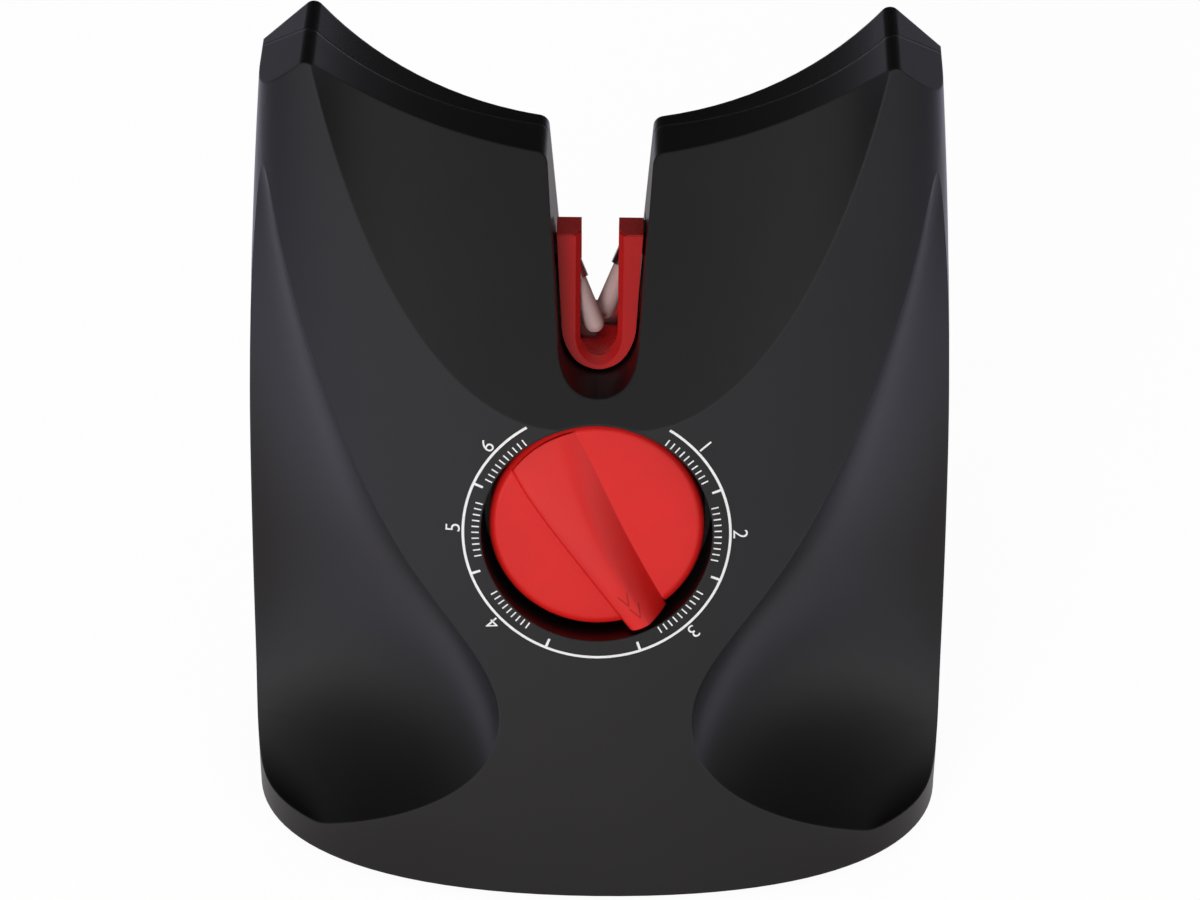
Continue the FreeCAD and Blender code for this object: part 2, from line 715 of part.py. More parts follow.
def handle():
    """Raised grip across the knob, flush with the rim at its tail and high at its pointer (+Y)."""
    top = -KNOB_FACE_DEPTH
    root = top - KNOB_WALL / 2
    sections = []
    for v, steep_foot, steep_crest, slope_crest, slope_foot, rise in HANDLE_SECTIONS:
        steep = Vector(steep_foot, v, root)
        slope = Vector(slope_foot, v, root)
        middle = (steep_crest + slope_crest) / 2
        back = Part.BSplineCurve()
        back.buildFromPoles([Vector(steep_foot, v, top), Vector(steep_crest + 0.5, v, top + 0.8 * rise),
                             Vector(steep_crest - 0.6, v, top + rise),
                             Vector(middle, v, top + 1.05 * rise),
                             Vector(slope_crest, v, top + rise), Vector(slope_foot, v, top)], False, 2)
        sections.append(Part.Wire([back.toShape(), Part.makeLine(Vector(slope_foot, v, top), slope),
                                   Part.makeLine(slope, steep),
                                   Part.makeLine(steep, Vector(steep_foot, v, top))]))
    ridge = Part.makeLoft(sections, True, False)
    tail = disc(KNOB_RADIUS - HANDLE_TAIL_INSET, -20, 30)
    tip = disc(HANDLE_TIP_RADIUS, -20, 30).common(block(-40, 40, 0, 40, -30, 20))
    return ridge.common(tail.fuse(tip))


def dial_knob():
    """Moulded cup with a rounded rim, a hub for the shaft and the grip across its face."""
    body = disc(KNOB_RADIUS, KNOB_FACE_DEPTH, KNOB_BACK)
    front_edge = [e for e in body.Edges if e.BoundBox.ZMin > -KNOB_FACE_DEPTH - 0.01]
    body = body.makeFillet(KNOB_RIM_ROUND, front_edge)
    inside = KNOB_FACE_DEPTH + KNOB_WALL
    hollow = disc(KNOB_RADIUS - KNOB_WALL, inside, KNOB_BACK + 1).cut(
        disc(KNOB_HUB_RADIUS, inside - 1, KNOB_BACK + 2))
    knob = joined([body.cut(hollow), handle()])
    knob.rotate(Vector(0, 0, 0), Vector(0, 0, 1), -REST_POINTER)
    bore = disc(SHAFT_RADIUS, KNOB_FACE_DEPTH + KNOB_WALL, KNOB_BACK + 1)
    return on_dial(knob.cut(bore))


def dial_shaft():
    """Steel shaft, pressed into the knob in front and the cam behind."""
    shaft = disc(SHAFT_RADIUS, KNOB_FACE_DEPTH + KNOB_WALL, CAM_BACK - 0.2)
    return on_dial(shaft)


def shaft_bush():
    """Bearing in the recess floor."""
    sleeve = disc(BUSH_RADIUS, RECESS_DEPTH, RECESS_BACK)
    flange = disc(BUSH_FLANGE, RECESS_BACK, RECESS_BACK + CAM_GAP - 0.2)
    bore = disc(SHAFT_RADIUS + RUNNING, RECESS_DEPTH - 1, RECESS_BACK + 2)
    return on_dial(joined([sleeve, flange]).cut(bore))


def detent_angles():
    """Turn of the dial from rest at which each number is reached."""
    count = int(round((LAST_POSITION - FIRST_POSITION) / POSITION_STEP)) + 1
    return [FIRST_POSITION + POSITION_STEP * i - REST_POINTER for i in range(count)]


def cam_disc():
    """Disc with a spiral groove that lifts the crosshead as the dial turns."""
    cam = disc(CAM_RADIUS, CAM_FRONT, CAM_BACK)
    lo = FIRST_POSITION - REST_POINTER
    hi = LAST_POSITION - REST_POINTER
    pitch = CAM_LIFT / (hi - lo)
    half = FOLLOWER_RADIUS + GROOVE_PLAY
    steps = 24
    outer, inner = [], []
    for i in range(steps + 1):
        turn = lo - GROOVE_BEYOND + (hi - lo + 2 * GROOVE_BEYOND) * i / steps
        radius = GROOVE_MID - pitch * turn
        a = clock(-turn, radius + half)
        b = clock(-turn, radius - half)
        outer.append(Vector(a.x, a.y, -CAM_BACK - 1))
        inner.append(Vector(b.x, b.y, -CAM_BACK - 1))
    far = Part.BSplineCurve()
    far.interpolate(outer)
    near = Part.BSplineCurve()
    near.interpolate(inner)
    wire = Part.Wire([far.toShape(), Part.makeLine(outer[-1], inner[-1]), near.toShape(),
                      Part.makeLine(inner[0], outer[0])])
    groove = Part.Face(wire).extrude(Vector(0, 0, GROOVE_DEPTH + 1))
    cuts = [groove, disc(SHAFT_RADIUS, CAM_FRONT - 1, CAM_BACK + 1)]
    for turn in detent_angles():
        spot = clock(180 - turn, CAM_RADIUS + NOTCH_RADIUS - BUMP_RADIUS)
        cuts.append(disc(NOTCH_RADIUS, CAM_FRONT - 1, CAM_BACK + 1, spot.x, spot.y))
    return on_dial(cam.cut(cuts))


def detent_spring():
    """Leaf spring fixed beside the cam, its bump resting on the cam's rim."""
    rest = -CAM_RADIUS - BUMP_RADIUS - LEAF_GAP
    low = rest - BUMP_RADIUS
    front = CAM_FRONT + 0.6
    back = CAM_BACK - 0.6
    leaf = slab(-LEAF_REACH, LEAF_TIP, low - LEAF_THICKNESS + 0.3, low + 0.3, front, back)
    bump = disc(BUMP_RADIUS, front, back, 0, rest)
    foot = slab(-LEAF_REACH - 2.6, -LEAF_REACH + 2.0, low - 1.6, rest, RECESS_BACK, back)
    return on_dial(joined([leaf, bump, foot]))


def crosshead():
    """Slider with a follower pin in the cam groove and a wedge head between the arms."""
    body = slab(-CROSSHEAD_HALF, CROSSHEAD_HALF, CROSSHEAD_FOOT, GUIDE_HIGH + 2.0,
                CROSSHEAD_FRONT, CROSSHEAD_BACK)
    neck = slab(-NECK_HALF, NECK_HALF, GUIDE_HIGH + 1.0, WEDGE_HIGH, CROSSHEAD_FRONT, CROSSHEAD_BACK)
    pin = disc(FOLLOWER_RADIUS, CAM_BACK - GROOVE_DEPTH + 0.2, CROSSHEAD_FRONT + 0.5, 0, GROOVE_MID)
    lower = wedge_half(WEDGE_LOW)
    upper = wedge_half(WEDGE_HIGH)
    head = plate([(-lower, WEDGE_LOW, -WEDGE_BACK), (lower, WEDGE_LOW, -WEDGE_BACK),
                  (upper, WEDGE_HIGH, -WEDGE_BACK), (-upper, WEDGE_HIGH, -WEDGE_BACK)],
                 Vector(0, 0, WEDGE_BACK - CROSSHEAD_BACK + 0.6))
    return on_dial(joined([body, neck, pin, head]))


def wedge_half(up):
    """Half width of the wedge head at a height up the face."""
    swing = math.radians(SWING_PER_TURN * (LAST_POSITION - FIRST_POSITION))
    slope = (PIVOT_Z - TAIL_Z) * math.tan(swing) / CAM_LIFT
    touch = ((ARM_FRONT - face_y(DIAL_HEIGHT)) * math.sin(LEAN)
             + (TAIL_Z - DIAL_HEIGHT) * math.cos(LEAN))
    return TAIL_X - ROLLER_RADIUS - WEDGE_PLAY - slope * (up - touch)


def crosshead_guide():
    """Bridge screwed to the recess posts, with two rails for the crosshead."""
    back = slab(-GUIDE_HALF, GUIDE_HALF, GUIDE_LOW, GUIDE_HIGH, GUIDE_FRONT, GUIDE_BACK)
    x0 = CROSSHEAD_HALF + 0.1
    rails = [slab(x0, x0 + 2.2, GUIDE_LOW, GUIDE_HIGH, CROSSHEAD_FRONT - 0.1, GUIDE_FRONT + 0.5),
             slab(-x0 - 2.2, -x0, GUIDE_LOW, GUIDE_HIGH, CROSSHEAD_FRONT - 0.1, GUIDE_FRONT + 0.5)]
    holes = [disc(SCREW_CLEARANCE, GUIDE_FRONT - 1, GUIDE_BACK + 1, x, y) for x, y in four(GUIDE_POSTS)]
    holes.append(slab(-3, 3, GUIDE_LOW + 3, GUIDE_HIGH - 3, GUIDE_FRONT - 1, GUIDE_BACK + 1))
    return on_dial(joined([back] + rails).cut(holes))


def guide_screws():
    screws = [screw(Vector(x, y, -GUIDE_BACK - SCREW_HEAD_DEPTH), Vector(0, 0, 1), 6.5)
              for x, y in four(GUIDE_POSTS)]
    return on_dial(Part.makeCompound(screws))


def guide_insert():
    """Red U that fills the slot: a leaning front rim, a trough and two arms."""
    start = INSERT_FRONT - 6
    pointsface = Part.Face(slot_profile(start, -INSERT_PLAY, SLOT_FLOOR))
    outer_block = pointsface.extrude(Vector(0, INSERT_REAR - start, 0))
    lean = math.tan(math.radians(INSERT_LEAN))
    foot = INSERT_FRONT - (INSERT_FLOOR - SLOT_FLOOR) * lean
    front = plate([(-20, foot - 30, SLOT_FLOOR - 5), (-20, foot - 5 * lean, SLOT_FLOOR - 5),
                   (-20, foot + 50 * lean, SLOT_FLOOR + 50), (-20, foot - 30, SLOT_FLOOR + 50)],
                  Vector(40, 0, 0))
    top = block(-20, 20, -20, 40, INSERT_TOP, INSERT_TOP + 40)
    half = INSERT_GAP_HALF
    centre = INSERT_FLOOR + half
    trough = rod(Vector(0, -20, centre), Vector(0, 1, 0), half, 70).fuse(
        block(-half, half, -20, 50, centre, INSERT_TOP + 5))
    body = outer_block.cut([front, top])
    body = body.cut(trough)
    bevel = lead_in(lean, foot)
    body = body.cut(bevel)
    for side in (-1, 1):
        body = body.cut(arm_window(side, ROD_RADIUS + FERRULE_WALL + ROD_ROOM, 20))
    return body


def lead_in(lean, foot):
    """Bevel round the trough's mouth on the leaning rim."""
    half = INSERT_GAP_HALF
    tilt = math.radians(INSERT_LEAN)
    upward = Vector(0, math.sin(tilt), math.cos(tilt))
    square = Vector(0, math.cos(tilt), -math.sin(tilt))
    wires = []
    for grow, shift in ((INSERT_BEVEL, -0.01), (0.0, INSERT_BEVEL)):
        origin = Vector(0, foot + (INSERT_FLOOR - SLOT_FLOOR) * lean, INSERT_FLOOR) + square * shift
        r = half + grow
        low = origin + upward * (half / math.cos(tilt))
        a = low + Vector(-r, 0, 0)
        c = low + Vector(r, 0, 0)
        b = low - upward * (r / math.cos(tilt) * 0.97)
        up = upward * 40
        wires.append(Part.Wire([Part.makeLine(a + up, a), Part.Arc(a, b, c).toShape(),
                                Part.makeLine(c, c + up), Part.makeLine(c + up, a + up)]))
    return Part.makeLoft(wires, True, True)


def ceramic_rod(side):
    low, way = rod_line(side)
    body = rod(low, way, ROD_RADIUS, ROD_LENGTH)
    return joined([body, Part.makeSphere(ROD_RADIUS, low)])


def rod_ferrule(side):
    """Steel cup on the rod's upper end, with a stud into the arm."""
    low, way = rod_line(side)
    cup = rod(low + way * (ROD_LENGTH - FERRULE_GRIP), way, ROD_RADIUS + FERRULE_WALL,
              FERRULE_GRIP + FERRULE_CAP)
    bore = rod(low + way * (ROD_LENGTH - FERRULE_GRIP - 1), way, ROD_RADIUS, FERRULE_GRIP + 1)
    stud = rod(low + way * (ROD_LENGTH + FERRULE_CAP - 0.2), way, STUD_RADIUS, STUD_LENGTH + 0.2)
    return joined([cup.cut(bore), stud])


def rod_arm(side):
    """Moulded arm: a finger that holds the rod, a boss on the pivot and a tail below."""
    low, way = rod_line(side)
    y0, y1 = finger_depths(side)
    end = low + way * (ROD_LENGTH + FERRULE_CAP)
    inner = abs(end.x) - 1.0
    x0, x1 = sorted((side * inner, side * PIVOT_X))
    finger = block(x0, x1, y0, y1, PIVOT_Z, INSERT_WINDOW_TOP - FINGER_ROOM)
    below = rod(low, way, 30, ROD_LENGTH + FERRULE_CAP)
    finger = finger.cut(below)
    back = max(y1, ARM_FRONT + ARM_THICKNESS)
    boss = rod(Vector(side * PIVOT_X, ARM_FRONT, PIVOT_Z), Vector(0, 1, 0), ARM_BOSS_RADIUS,
               back - ARM_FRONT)
    a, b = sorted((side * ARM_INNER, side * ARM_OUTER))
    leg = block(a, b, ARM_FRONT, ARM_FRONT + ARM_THICKNESS, TAIL_Z - ROLLER_RADIUS, PIVOT_Z)
    thin = ARM_THICKNESS - ROLLER_WIDTH - 0.1
    a, b = sorted((side * TAIL_X, side * ARM_OUTER))
    tail = block(a, b, ARM_FRONT, ARM_FRONT + thin, TAIL_Z - ROLLER_RADIUS + EYE_STEP,
                 TAIL_Z + ROLLER_RADIUS - EYE_STEP)
    eye = rod(Vector(side * TAIL_X, ARM_FRONT, TAIL_Z), Vector(0, 1, 0), ROLLER_RADIUS - EYE_STEP, thin)
    pin = rod(Vector(side * TAIL_X, ARM_FRONT, TAIL_Z), Vector(0, 1, 0), ROLLER_PIN, ARM_THICKNESS + 0.3)
    bore = rod(Vector(side * PIVOT_X, 0, PIVOT_Z), Vector(0, 1, 0), PIVOT_RADIUS + RUNNING, 60)
    socket = rod(end - way * 0.5, way, STUD_RADIUS, STUD_LENGTH + 0.5)
    return joined([finger, boss, leg, tail, eye, pin]).cut([bore, socket])


def arm_roller(side):
    start = Vector(side * TAIL_X, ARM_FRONT + ARM_THICKNESS - ROLLER_WIDTH, TAIL_Z)
    roller = rod(start, Vector(0, 1, 0), ROLLER_RADIUS, ROLLER_WIDTH)
    return roller.cut(rod(start - Vector(0, 1, 0), Vector(0, 1, 0), ROLLER_PIN, ROLLER_WIDTH + 2))


def shaker_plate():
    """Fork that carries both arms and is shaken up and down by the eccentric."""
    thick = SHAKER_REAR - SHAKER_FRONT
    window_x = ECCENTRIC_RADIUS + ECCENTRIC_THROW + 0.3
    window_z = ECCENTRIC_RADIUS + ECCENTRIC_THROW + SHAKER_TRAVEL + YOKE_PLAY
    points = [(-SHAKER_HALF, SHAKER_LOW), (SHAKER_HALF, SHAKER_LOW), (SHAKER_HALF, FORK_LOW),
                (FORK_OUTER, FORK_LOW + 7), (FORK_OUTER, FORK_TOP), (FORK_INNER, FORK_TOP),
                (FORK_INNER, FORK_LOW + 9), (8, FORK_LOW + 6), (-8, FORK_LOW + 6),
                (-FORK_INNER, FORK_LOW + 9), (-FORK_INNER, FORK_TOP), (-FORK_OUTER, FORK_TOP),
                (-FORK_OUTER, FORK_LOW + 7), (-SHAKER_HALF, FORK_LOW)]
    body = plate([(x, SHAKER_FRONT, z) for x, z in points], Vector(0, thick, 0))
    window = block(-window_x, window_x, SHAKER_FRONT - 1, SHAKER_REAR + 1,
                   GEAR_Z - window_z, GEAR_Z + window_z)
    cuts = [window]
    half = GUIDE_PIN_RADIUS + RUNNING
    slide = SHAKER_TRAVEL + YOKE_PLAY
    for z in (GUIDE_PIN_LOW, GUIDE_PIN_HIGH):
        cuts.append(upright_slot(z, half, slide))
    for side in (-1, 1):
        cuts.append(rod(Vector(side * PIVOT_X, SHAKER_FRONT - 1, PIVOT_Z), Vector(0, 1, 0),
                        PIVOT_RADIUS, thick + 2))
    return body.cut(cuts)


def upright_slot(z, half, slide):
    """Cutter for a round-ended slot in the shaker plate, for one guide pin."""
    y = SHAKER_FRONT - 1
    low_left, low_right = Vector(-half, y, z - slide), Vector(half, y, z - slide)
    high_left, high_right = Vector(-half, y, z + slide), Vector(half, y, z + slide)
    edges = [Part.Arc(low_left, Vector(0, y, z - slide - half), low_right).toShape(),
             Part.makeLine(low_right, high_right),
             Part.Arc(high_right, Vector(0, y, z + slide + half), high_left).toShape(),
             Part.makeLine(high_left, low_left)]
    return Part.Face(Part.Wire(edges)).extrude(Vector(0, SHAKER_REAR - SHAKER_FRONT + 2, 0))


def pivot_pins():
    pins = []
    for side in (-1, 1):
        start = Vector(side * PIVOT_X, ARM_FRONT - 0.2, PIVOT_Z)
        pin = rod(start, Vector(0, 1, 0), PIVOT_RADIUS, SHAKER_REAR - start.y)
        head = rod(start, Vector(0, -1, 0), PIVOT_RADIUS + 0.8, 0.8)
        pins.append(joined([pin, head]))
    return Part.makeCompound(pins)


def chassis():
    """Plate on the rear cover's posts that carries motor, axle and guide pins."""
    cut = 8.0
    points = [(-CHASSIS_HALF, CHASSIS_LOW), (CHASSIS_HALF, CHASSIS_LOW),
              (CHASSIS_HALF, CHASSIS_HIGH - cut), (CHASSIS_HALF - cut, CHASSIS_HIGH),
              (-CHASSIS_HALF + cut, CHASSIS_HIGH), (-CHASSIS_HALF, CHASSIS_HIGH - cut)]
    body = plate([(x, CHASSIS_FRONT, z) for x, z in points],
                 Vector(0, CHASSIS_REAR - CHASSIS_FRONT, 0))
    depth = Vector(0, 1, 0)
    cuts = [rod(Vector(0, 0, MOTOR_Z), depth, MOTOR_BOSS_RADIUS, 40),
            rod(Vector(0, 0, GEAR_Z), depth, AXLE_RADIUS, 40)]
    for z in (GUIDE_PIN_LOW, GUIDE_PIN_HIGH):
        cuts.append(rod(Vector(0, 0, z), depth, GUIDE_PIN_RADIUS, 40))
    for x, z in four(POST_PLACES):
        cuts.append(rod(Vector(x, 0, z), depth, SCREW_CLEARANCE, 40))
    for x in (-MOTOR_SCREW_X, MOTOR_SCREW_X):
        cuts.append(rod(Vector(x, 0, MOTOR_Z), depth, SCREW_RADIUS, 40))
    for x in (-20.0, 20.0):
        cuts.append(rod(Vector(x, 0, GEAR_Z), depth, 5.0, 40))
    return body.cut(cuts)


def chassis_screws():
    return Part.makeCompound([screw(Vector(x, CHASSIS_FRONT - SCREW_HEAD_DEPTH, z), Vector(0, 1, 0), 7.0)
                              for x, z in four(POST_PLACES)])


def guide_pins():
    """Two pins with clips that keep the shaker on its path."""
    pins = []
    for z in (GUIDE_PIN_LOW, GUIDE_PIN_HIGH):
        start = Vector(0, CHASSIS_FRONT, z)
        end = SHAKER_REAR + 0.2
        pin = rod(start, Vector(0, 1, 0), GUIDE_PIN_RADIUS, end + CLIP_THICKNESS + 0.6 - start.y)
        clip = rod(Vector(0, end, z), Vector(0, 1, 0), CLIP_RADIUS, CLIP_THICKNESS)
        collar = rod(Vector(0, CHASSIS_REAR, z), Vector(0, 1, 0), CLIP_RADIUS - 0.4,
                     SHAKER_FRONT - CHASSIS_REAR - 0.2)
        pins.append(joined([pin, clip, collar]))
    return Part.makeCompound(pins)


def motor_can():
    depth = Vector(0, 1, 0)
    start = CHASSIS_FRONT - MOTOR_LENGTH + CAP_THICKNESS
    can = rod(Vector(0, start, MOTOR_Z), depth, MOTOR_RADIUS, CHASSIS_FRONT - start)
    boss = rod(Vector(0, CHASSIS_FRONT - 0.5, MOTOR_Z), depth, MOTOR_BOSS_RADIUS, MOTOR_BOSS_LENGTH + 0.5)
    hollow = rod(Vector(0, start - 1, MOTOR_Z), depth, MOTOR_RADIUS - CAN_WALL,
                 CHASSIS_FRONT - start + 1 - CAN_WALL)
    cuts = [hollow, rod(Vector(0, 0, MOTOR_Z), depth, MOTOR_SHAFT_RADIUS + RUNNING, 40)]
    for x in (-MOTOR_SCREW_X, MOTOR_SCREW_X):
        cuts.append(rod(Vector(x, CHASSIS_FRONT - 3, MOTOR_Z), depth, SCREW_RADIUS, 5))
    return joined([can, boss]).cut(cuts)


def motor_cap():
    depth = Vector(0, 1, 0)
    start = CHASSIS_FRONT - MOTOR_LENGTH
    cap = rod(Vector(0, start, MOTOR_Z), depth, MOTOR_RADIUS - 0.4, CAP_THICKNESS)
    bore = rod(Vector(0, start + 1, MOTOR_Z), depth, MOTOR_SHAFT_RADIUS + RUNNING, CAP_THICKNESS)
    tabs = [block(x - TAB_HALF, x + TAB_HALF, start - TAB_LENGTH, start + 0.5,
                  MOTOR_Z + TAB_X - TAB_THICKNESS, MOTOR_Z + TAB_X) for x in (-TAB_X, TAB_X)]
    return joined([cap.cut(bore)] + tabs)


def motor_magnets():
    """Two curved magnets inside the can."""
    depth = Vector(0, 1, 0)
    start = CHASSIS_FRONT - MOTOR_LENGTH + CAP_THICKNESS + 3
    ring = rod(Vector(0, start, MOTOR_Z), depth, MOTOR_RADIUS - CAN_WALL - RUNNING, 20)
    ring = ring.cut(rod(Vector(0, start - 1, MOTOR_Z), depth, 9.0, 22))
    gap = block(-20, 20, start - 1, start + 22, MOTOR_Z - 4, MOTOR_Z + 4)
    return ring.cut(gap)


def armature():
    """Wound rotor on the motor shaft: a core with three poles."""
    depth = Vector(0, 1, 0)
    start = CHASSIS_FRONT - MOTOR_LENGTH + CAP_THICKNESS + 4
    core = rod(Vector(0, start, MOTOR_Z), depth, 8.6, 17)
    cuts = [rod(Vector(0, start - 1, MOTOR_Z), depth, MOTOR_SHAFT_RADIUS, 20)]
    for i in range(3):
        angle = math.radians(90 + 120 * i)
        cuts.append(rod(Vector(8.2 * math.cos(angle), start - 1, MOTOR_Z + 8.2 * math.sin(angle)),
                        depth, 2.0, 20))
    return core.cut(cuts)


def motor_shaft():
    start = CHASSIS_FRONT - MOTOR_LENGTH + 1.2
    end = GEAR_REAR + 0.6
    return rod(Vector(0, start, MOTOR_Z), Vector(0, 1, 0), MOTOR_SHAFT_RADIUS, end - start)


def motor_screws():
    screws = []
    for x in (-MOTOR_SCREW_X, MOTOR_SCREW_X):
        head = rod(Vector(x, CHASSIS_REAR, MOTOR_Z), Vector(0, 1, 0), 2.2, 1.2)
        shank = rod(Vector(x, CHASSIS_FRONT - 2.5, MOTOR_Z), Vector(0, 1, 0), SCREW_RADIUS,
                    CHASSIS_REAR - CHASSIS_FRONT + 2.6)
        screws.append(joined([head, shank]))
    return Part.makeCompound(screws)


def gear_blank(teeth, z, turn):
    """Spur gear about the Y direction with straight-flanked teeth."""
    pitch = MODULE * teeth / 2
    root = pitch - 1.2 * MODULE
    tip = pitch + 0.95 * MODULE
    quarter = 90.0 / teeth
    points = []
    for i in range(teeth):
        centre = turn + 360.0 * i / teeth
        for radius, offset in ((root, -1.5), (pitch, -0.94), (tip, -0.42),
                               (tip, 0.42), (pitch, 0.94), (root, 1.5)):
            angle = math.radians(centre + offset * quarter)
            points.append((radius * math.cos(angle), GEAR_FRONT, z + radius * math.sin(angle)))
    return plate(points, Vector(0, GEAR_THICKNESS, 0))


def drive_pinion():
    gear = gear_blank(PINION_TEETH, MOTOR_Z, 90.0)
    return gear.cut(rod(Vector(0, 0, MOTOR_Z), Vector(0, 1, 0), MOTOR_SHAFT_RADIUS, 60))


def drive_gear():
    gear = gear_blank(GEAR_TEETH, GEAR_Z, -90.0 + 180.0 / GEAR_TEETH)
    cuts = [rod(Vector(0, 0, GEAR_Z), Vector(0, 1, 0), AXLE_RADIUS + RUNNING, 60)]
    for i in range(5):
        angle = math.radians(72 * i + 36)
        cuts.append(rod(Vector(9.6 * math.cos(angle), 0, GEAR_Z + 9.6 * math.sin(angle)),
                        Vector(0, 1, 0), 2.6, 60))
    return gear.cut(cuts)


def eccentric():
    """Steel disc set off centre on the gear; it works in the shaker's window."""
    body = rod(Vector(ECCENTRIC_THROW, GEAR_REAR, GEAR_Z), Vector(0, 1, 0), ECCENTRIC_RADIUS,
               SHAKER_REAR - GEAR_REAR)
    return body.cut(rod(Vector(0, 0, GEAR_Z), Vector(0, 1, 0), AXLE_RADIUS + RUNNING, 60))


def gear_axle():
    start = Vector(0, CHASSIS_FRONT, GEAR_Z)
    axle = rod(start, Vector(0, 1, 0), AXLE_RADIUS, SHAKER_REAR + 1.4 - CHASSIS_FRONT)
    clip = rod(Vector(0, SHAKER_REAR + 0.2, GEAR_Z), Vector(0, 1, 0), CLIP_RADIUS, CLIP_THICKNESS)
    return joined([axle, clip])


def circuit_board():
    x0, x1, y0, y1 = BOARD_EDGES
    return block(x0, x1, y0, y1, BOARD_Z, BOARD_Z + BOARD_THICKNESS)


def power_inlet():
    width, depth, height = INLET_SIZE
    z = BOARD_Z + BOARD_THICKNESS
    rear = REAR - WALL
    body = block(INLET_X - width / 2, INLET_X + width / 2, rear - depth, rear, z, z + height)
    collar = rod(Vector(INLET_X, rear - 1, inlet_height()), Vector(0, 1, 0), INLET_BORE + 1.3, WALL)
    bore = rod(Vector(INLET_X, rear - 8, inlet_height()), Vector(0, 1, 0), INLET_BORE, 20)
    pin = rod(Vector(INLET_X, rear - 9, inlet_height()), Vector(0, 1, 0), 1.0, 8.5)
    return joined([joined([body, collar]).cut(bore), pin])


def board_parts():
    """Capacitor, choke, driver chip and terminal block, standing on the board."""
    z = BOARD_Z + BOARD_THICKNESS
    parts = [rod(Vector(x, y, z), Vector(0, 0, 1), radius, height)
             for x, y, radius, height in ROUND_PARTS]
    parts += [block(x - width / 2, x + width / 2, y - depth / 2, y + depth / 2, z, z + height)
              for x, y, width, depth, height in SQUARE_PARTS]
    return Part.makeCompound(parts)


def power_switch():
    """Micro switch under the recess floor that the cam's last notch releases."""
    left = CAM_RADIUS + SWITCH_GAP
    body = slab(left, left + SWITCH_WIDTH, -SWITCH_LOW, -SWITCH_HIGH, RECESS_BACK,
                RECESS_BACK + SWITCH_HEIGHT)
    lever = slab(left - 0.7, left + 0.1, -SWITCH_LOW + 1.0, -SWITCH_HIGH - 0.6, CAM_FRONT + 0.8,
                 CAM_FRONT + 3.2)
    return on_dial(joined([body, lever]))


def build():
    os.makedirs(PARTS, exist_ok=True)
    front, rear = housing_shells()
    nodes = {
        "front_housing": front,
        "rear_cover": rear,
        "base_plate": base_plate(),
        "rubber_feet": rubber_feet(),
        "base_screws": base_screws(),
        "rear_screws": rear_screws(),
        "dial_knob": dial_knob(),
        "dial_shaft": dial_shaft(),
        "shaft_bush": shaft_bush(),
        "cam_disc": cam_disc(),
        "detent_spring": detent_spring(),
        "crosshead": crosshead(),
        "crosshead_guide": crosshead_guide(),
        "guide_screws": guide_screws(),
        "guide_insert": guide_insert(),
        "shaker_plate": shaker_plate(),
        "pivot_pins": pivot_pins(),
        "chassis": chassis(),
        "chassis_screws": chassis_screws(),
        "guide_pins": guide_pins(),
        "motor_can": motor_can(),
        "motor_cap": motor_cap(),
        "motor_magnets": motor_magnets(),
        "armature": armature(),
        "motor_shaft": motor_shaft(),
        "motor_screws": motor_screws(),
        "drive_pinion": drive_pinion(),
        "drive_gear": drive_gear(),
        "eccentric": eccentric(),
        "gear_axle": gear_axle(),
        "circuit_board": circuit_board(),
        "power_inlet": power_inlet(),
        "board_parts": board_parts(),
        "power_switch": power_switch(),
    }
    for side, name in ((-1, "left"), (1, "right")):
        nodes["ceramic_rod_" + name] = ceramic_rod(side)
        nodes["rod_ferrule_" + name] = rod_ferrule(side)
        nodes["rod_arm_" + name] = rod_arm(side)
        nodes["arm_roller_" + name] = arm_roller(side)
    for name, shape in nodes.items():
        save(shape, name)


build()
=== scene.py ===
import math

import bmesh
import bpy
from mathutils import Matrix, Vector
from mathutils.bvhtree import BVHTree


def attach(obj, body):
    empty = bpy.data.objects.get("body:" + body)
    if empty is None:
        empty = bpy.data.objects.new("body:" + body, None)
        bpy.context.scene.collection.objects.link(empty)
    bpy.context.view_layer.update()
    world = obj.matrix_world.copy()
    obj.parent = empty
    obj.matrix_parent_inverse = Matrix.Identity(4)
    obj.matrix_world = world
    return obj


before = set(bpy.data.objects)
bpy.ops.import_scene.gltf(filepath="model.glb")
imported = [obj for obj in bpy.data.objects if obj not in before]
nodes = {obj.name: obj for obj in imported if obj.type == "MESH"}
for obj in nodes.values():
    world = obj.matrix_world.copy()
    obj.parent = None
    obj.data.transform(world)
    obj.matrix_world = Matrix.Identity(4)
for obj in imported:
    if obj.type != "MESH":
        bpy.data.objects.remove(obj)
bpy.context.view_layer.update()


# The view: a long lens looks down on the face from a little right of the middle,
# so the slot, the scooped top and the dial all show. It is no part of the object.
VIEW_ELEVATION = math.radians(36.757)
VIEW_AZIMUTH = math.radians(0.841)
VIEW_ROLL = math.radians(0.183)
VIEW_DISTANCE = 0.85
VIEW_TARGET = Vector((0.000125, 0.01869, 0.07004))
VIEW_LENS_MM = 132
VIEW_SENSOR_MM = 36
VIEW_NEAREST = 0.01

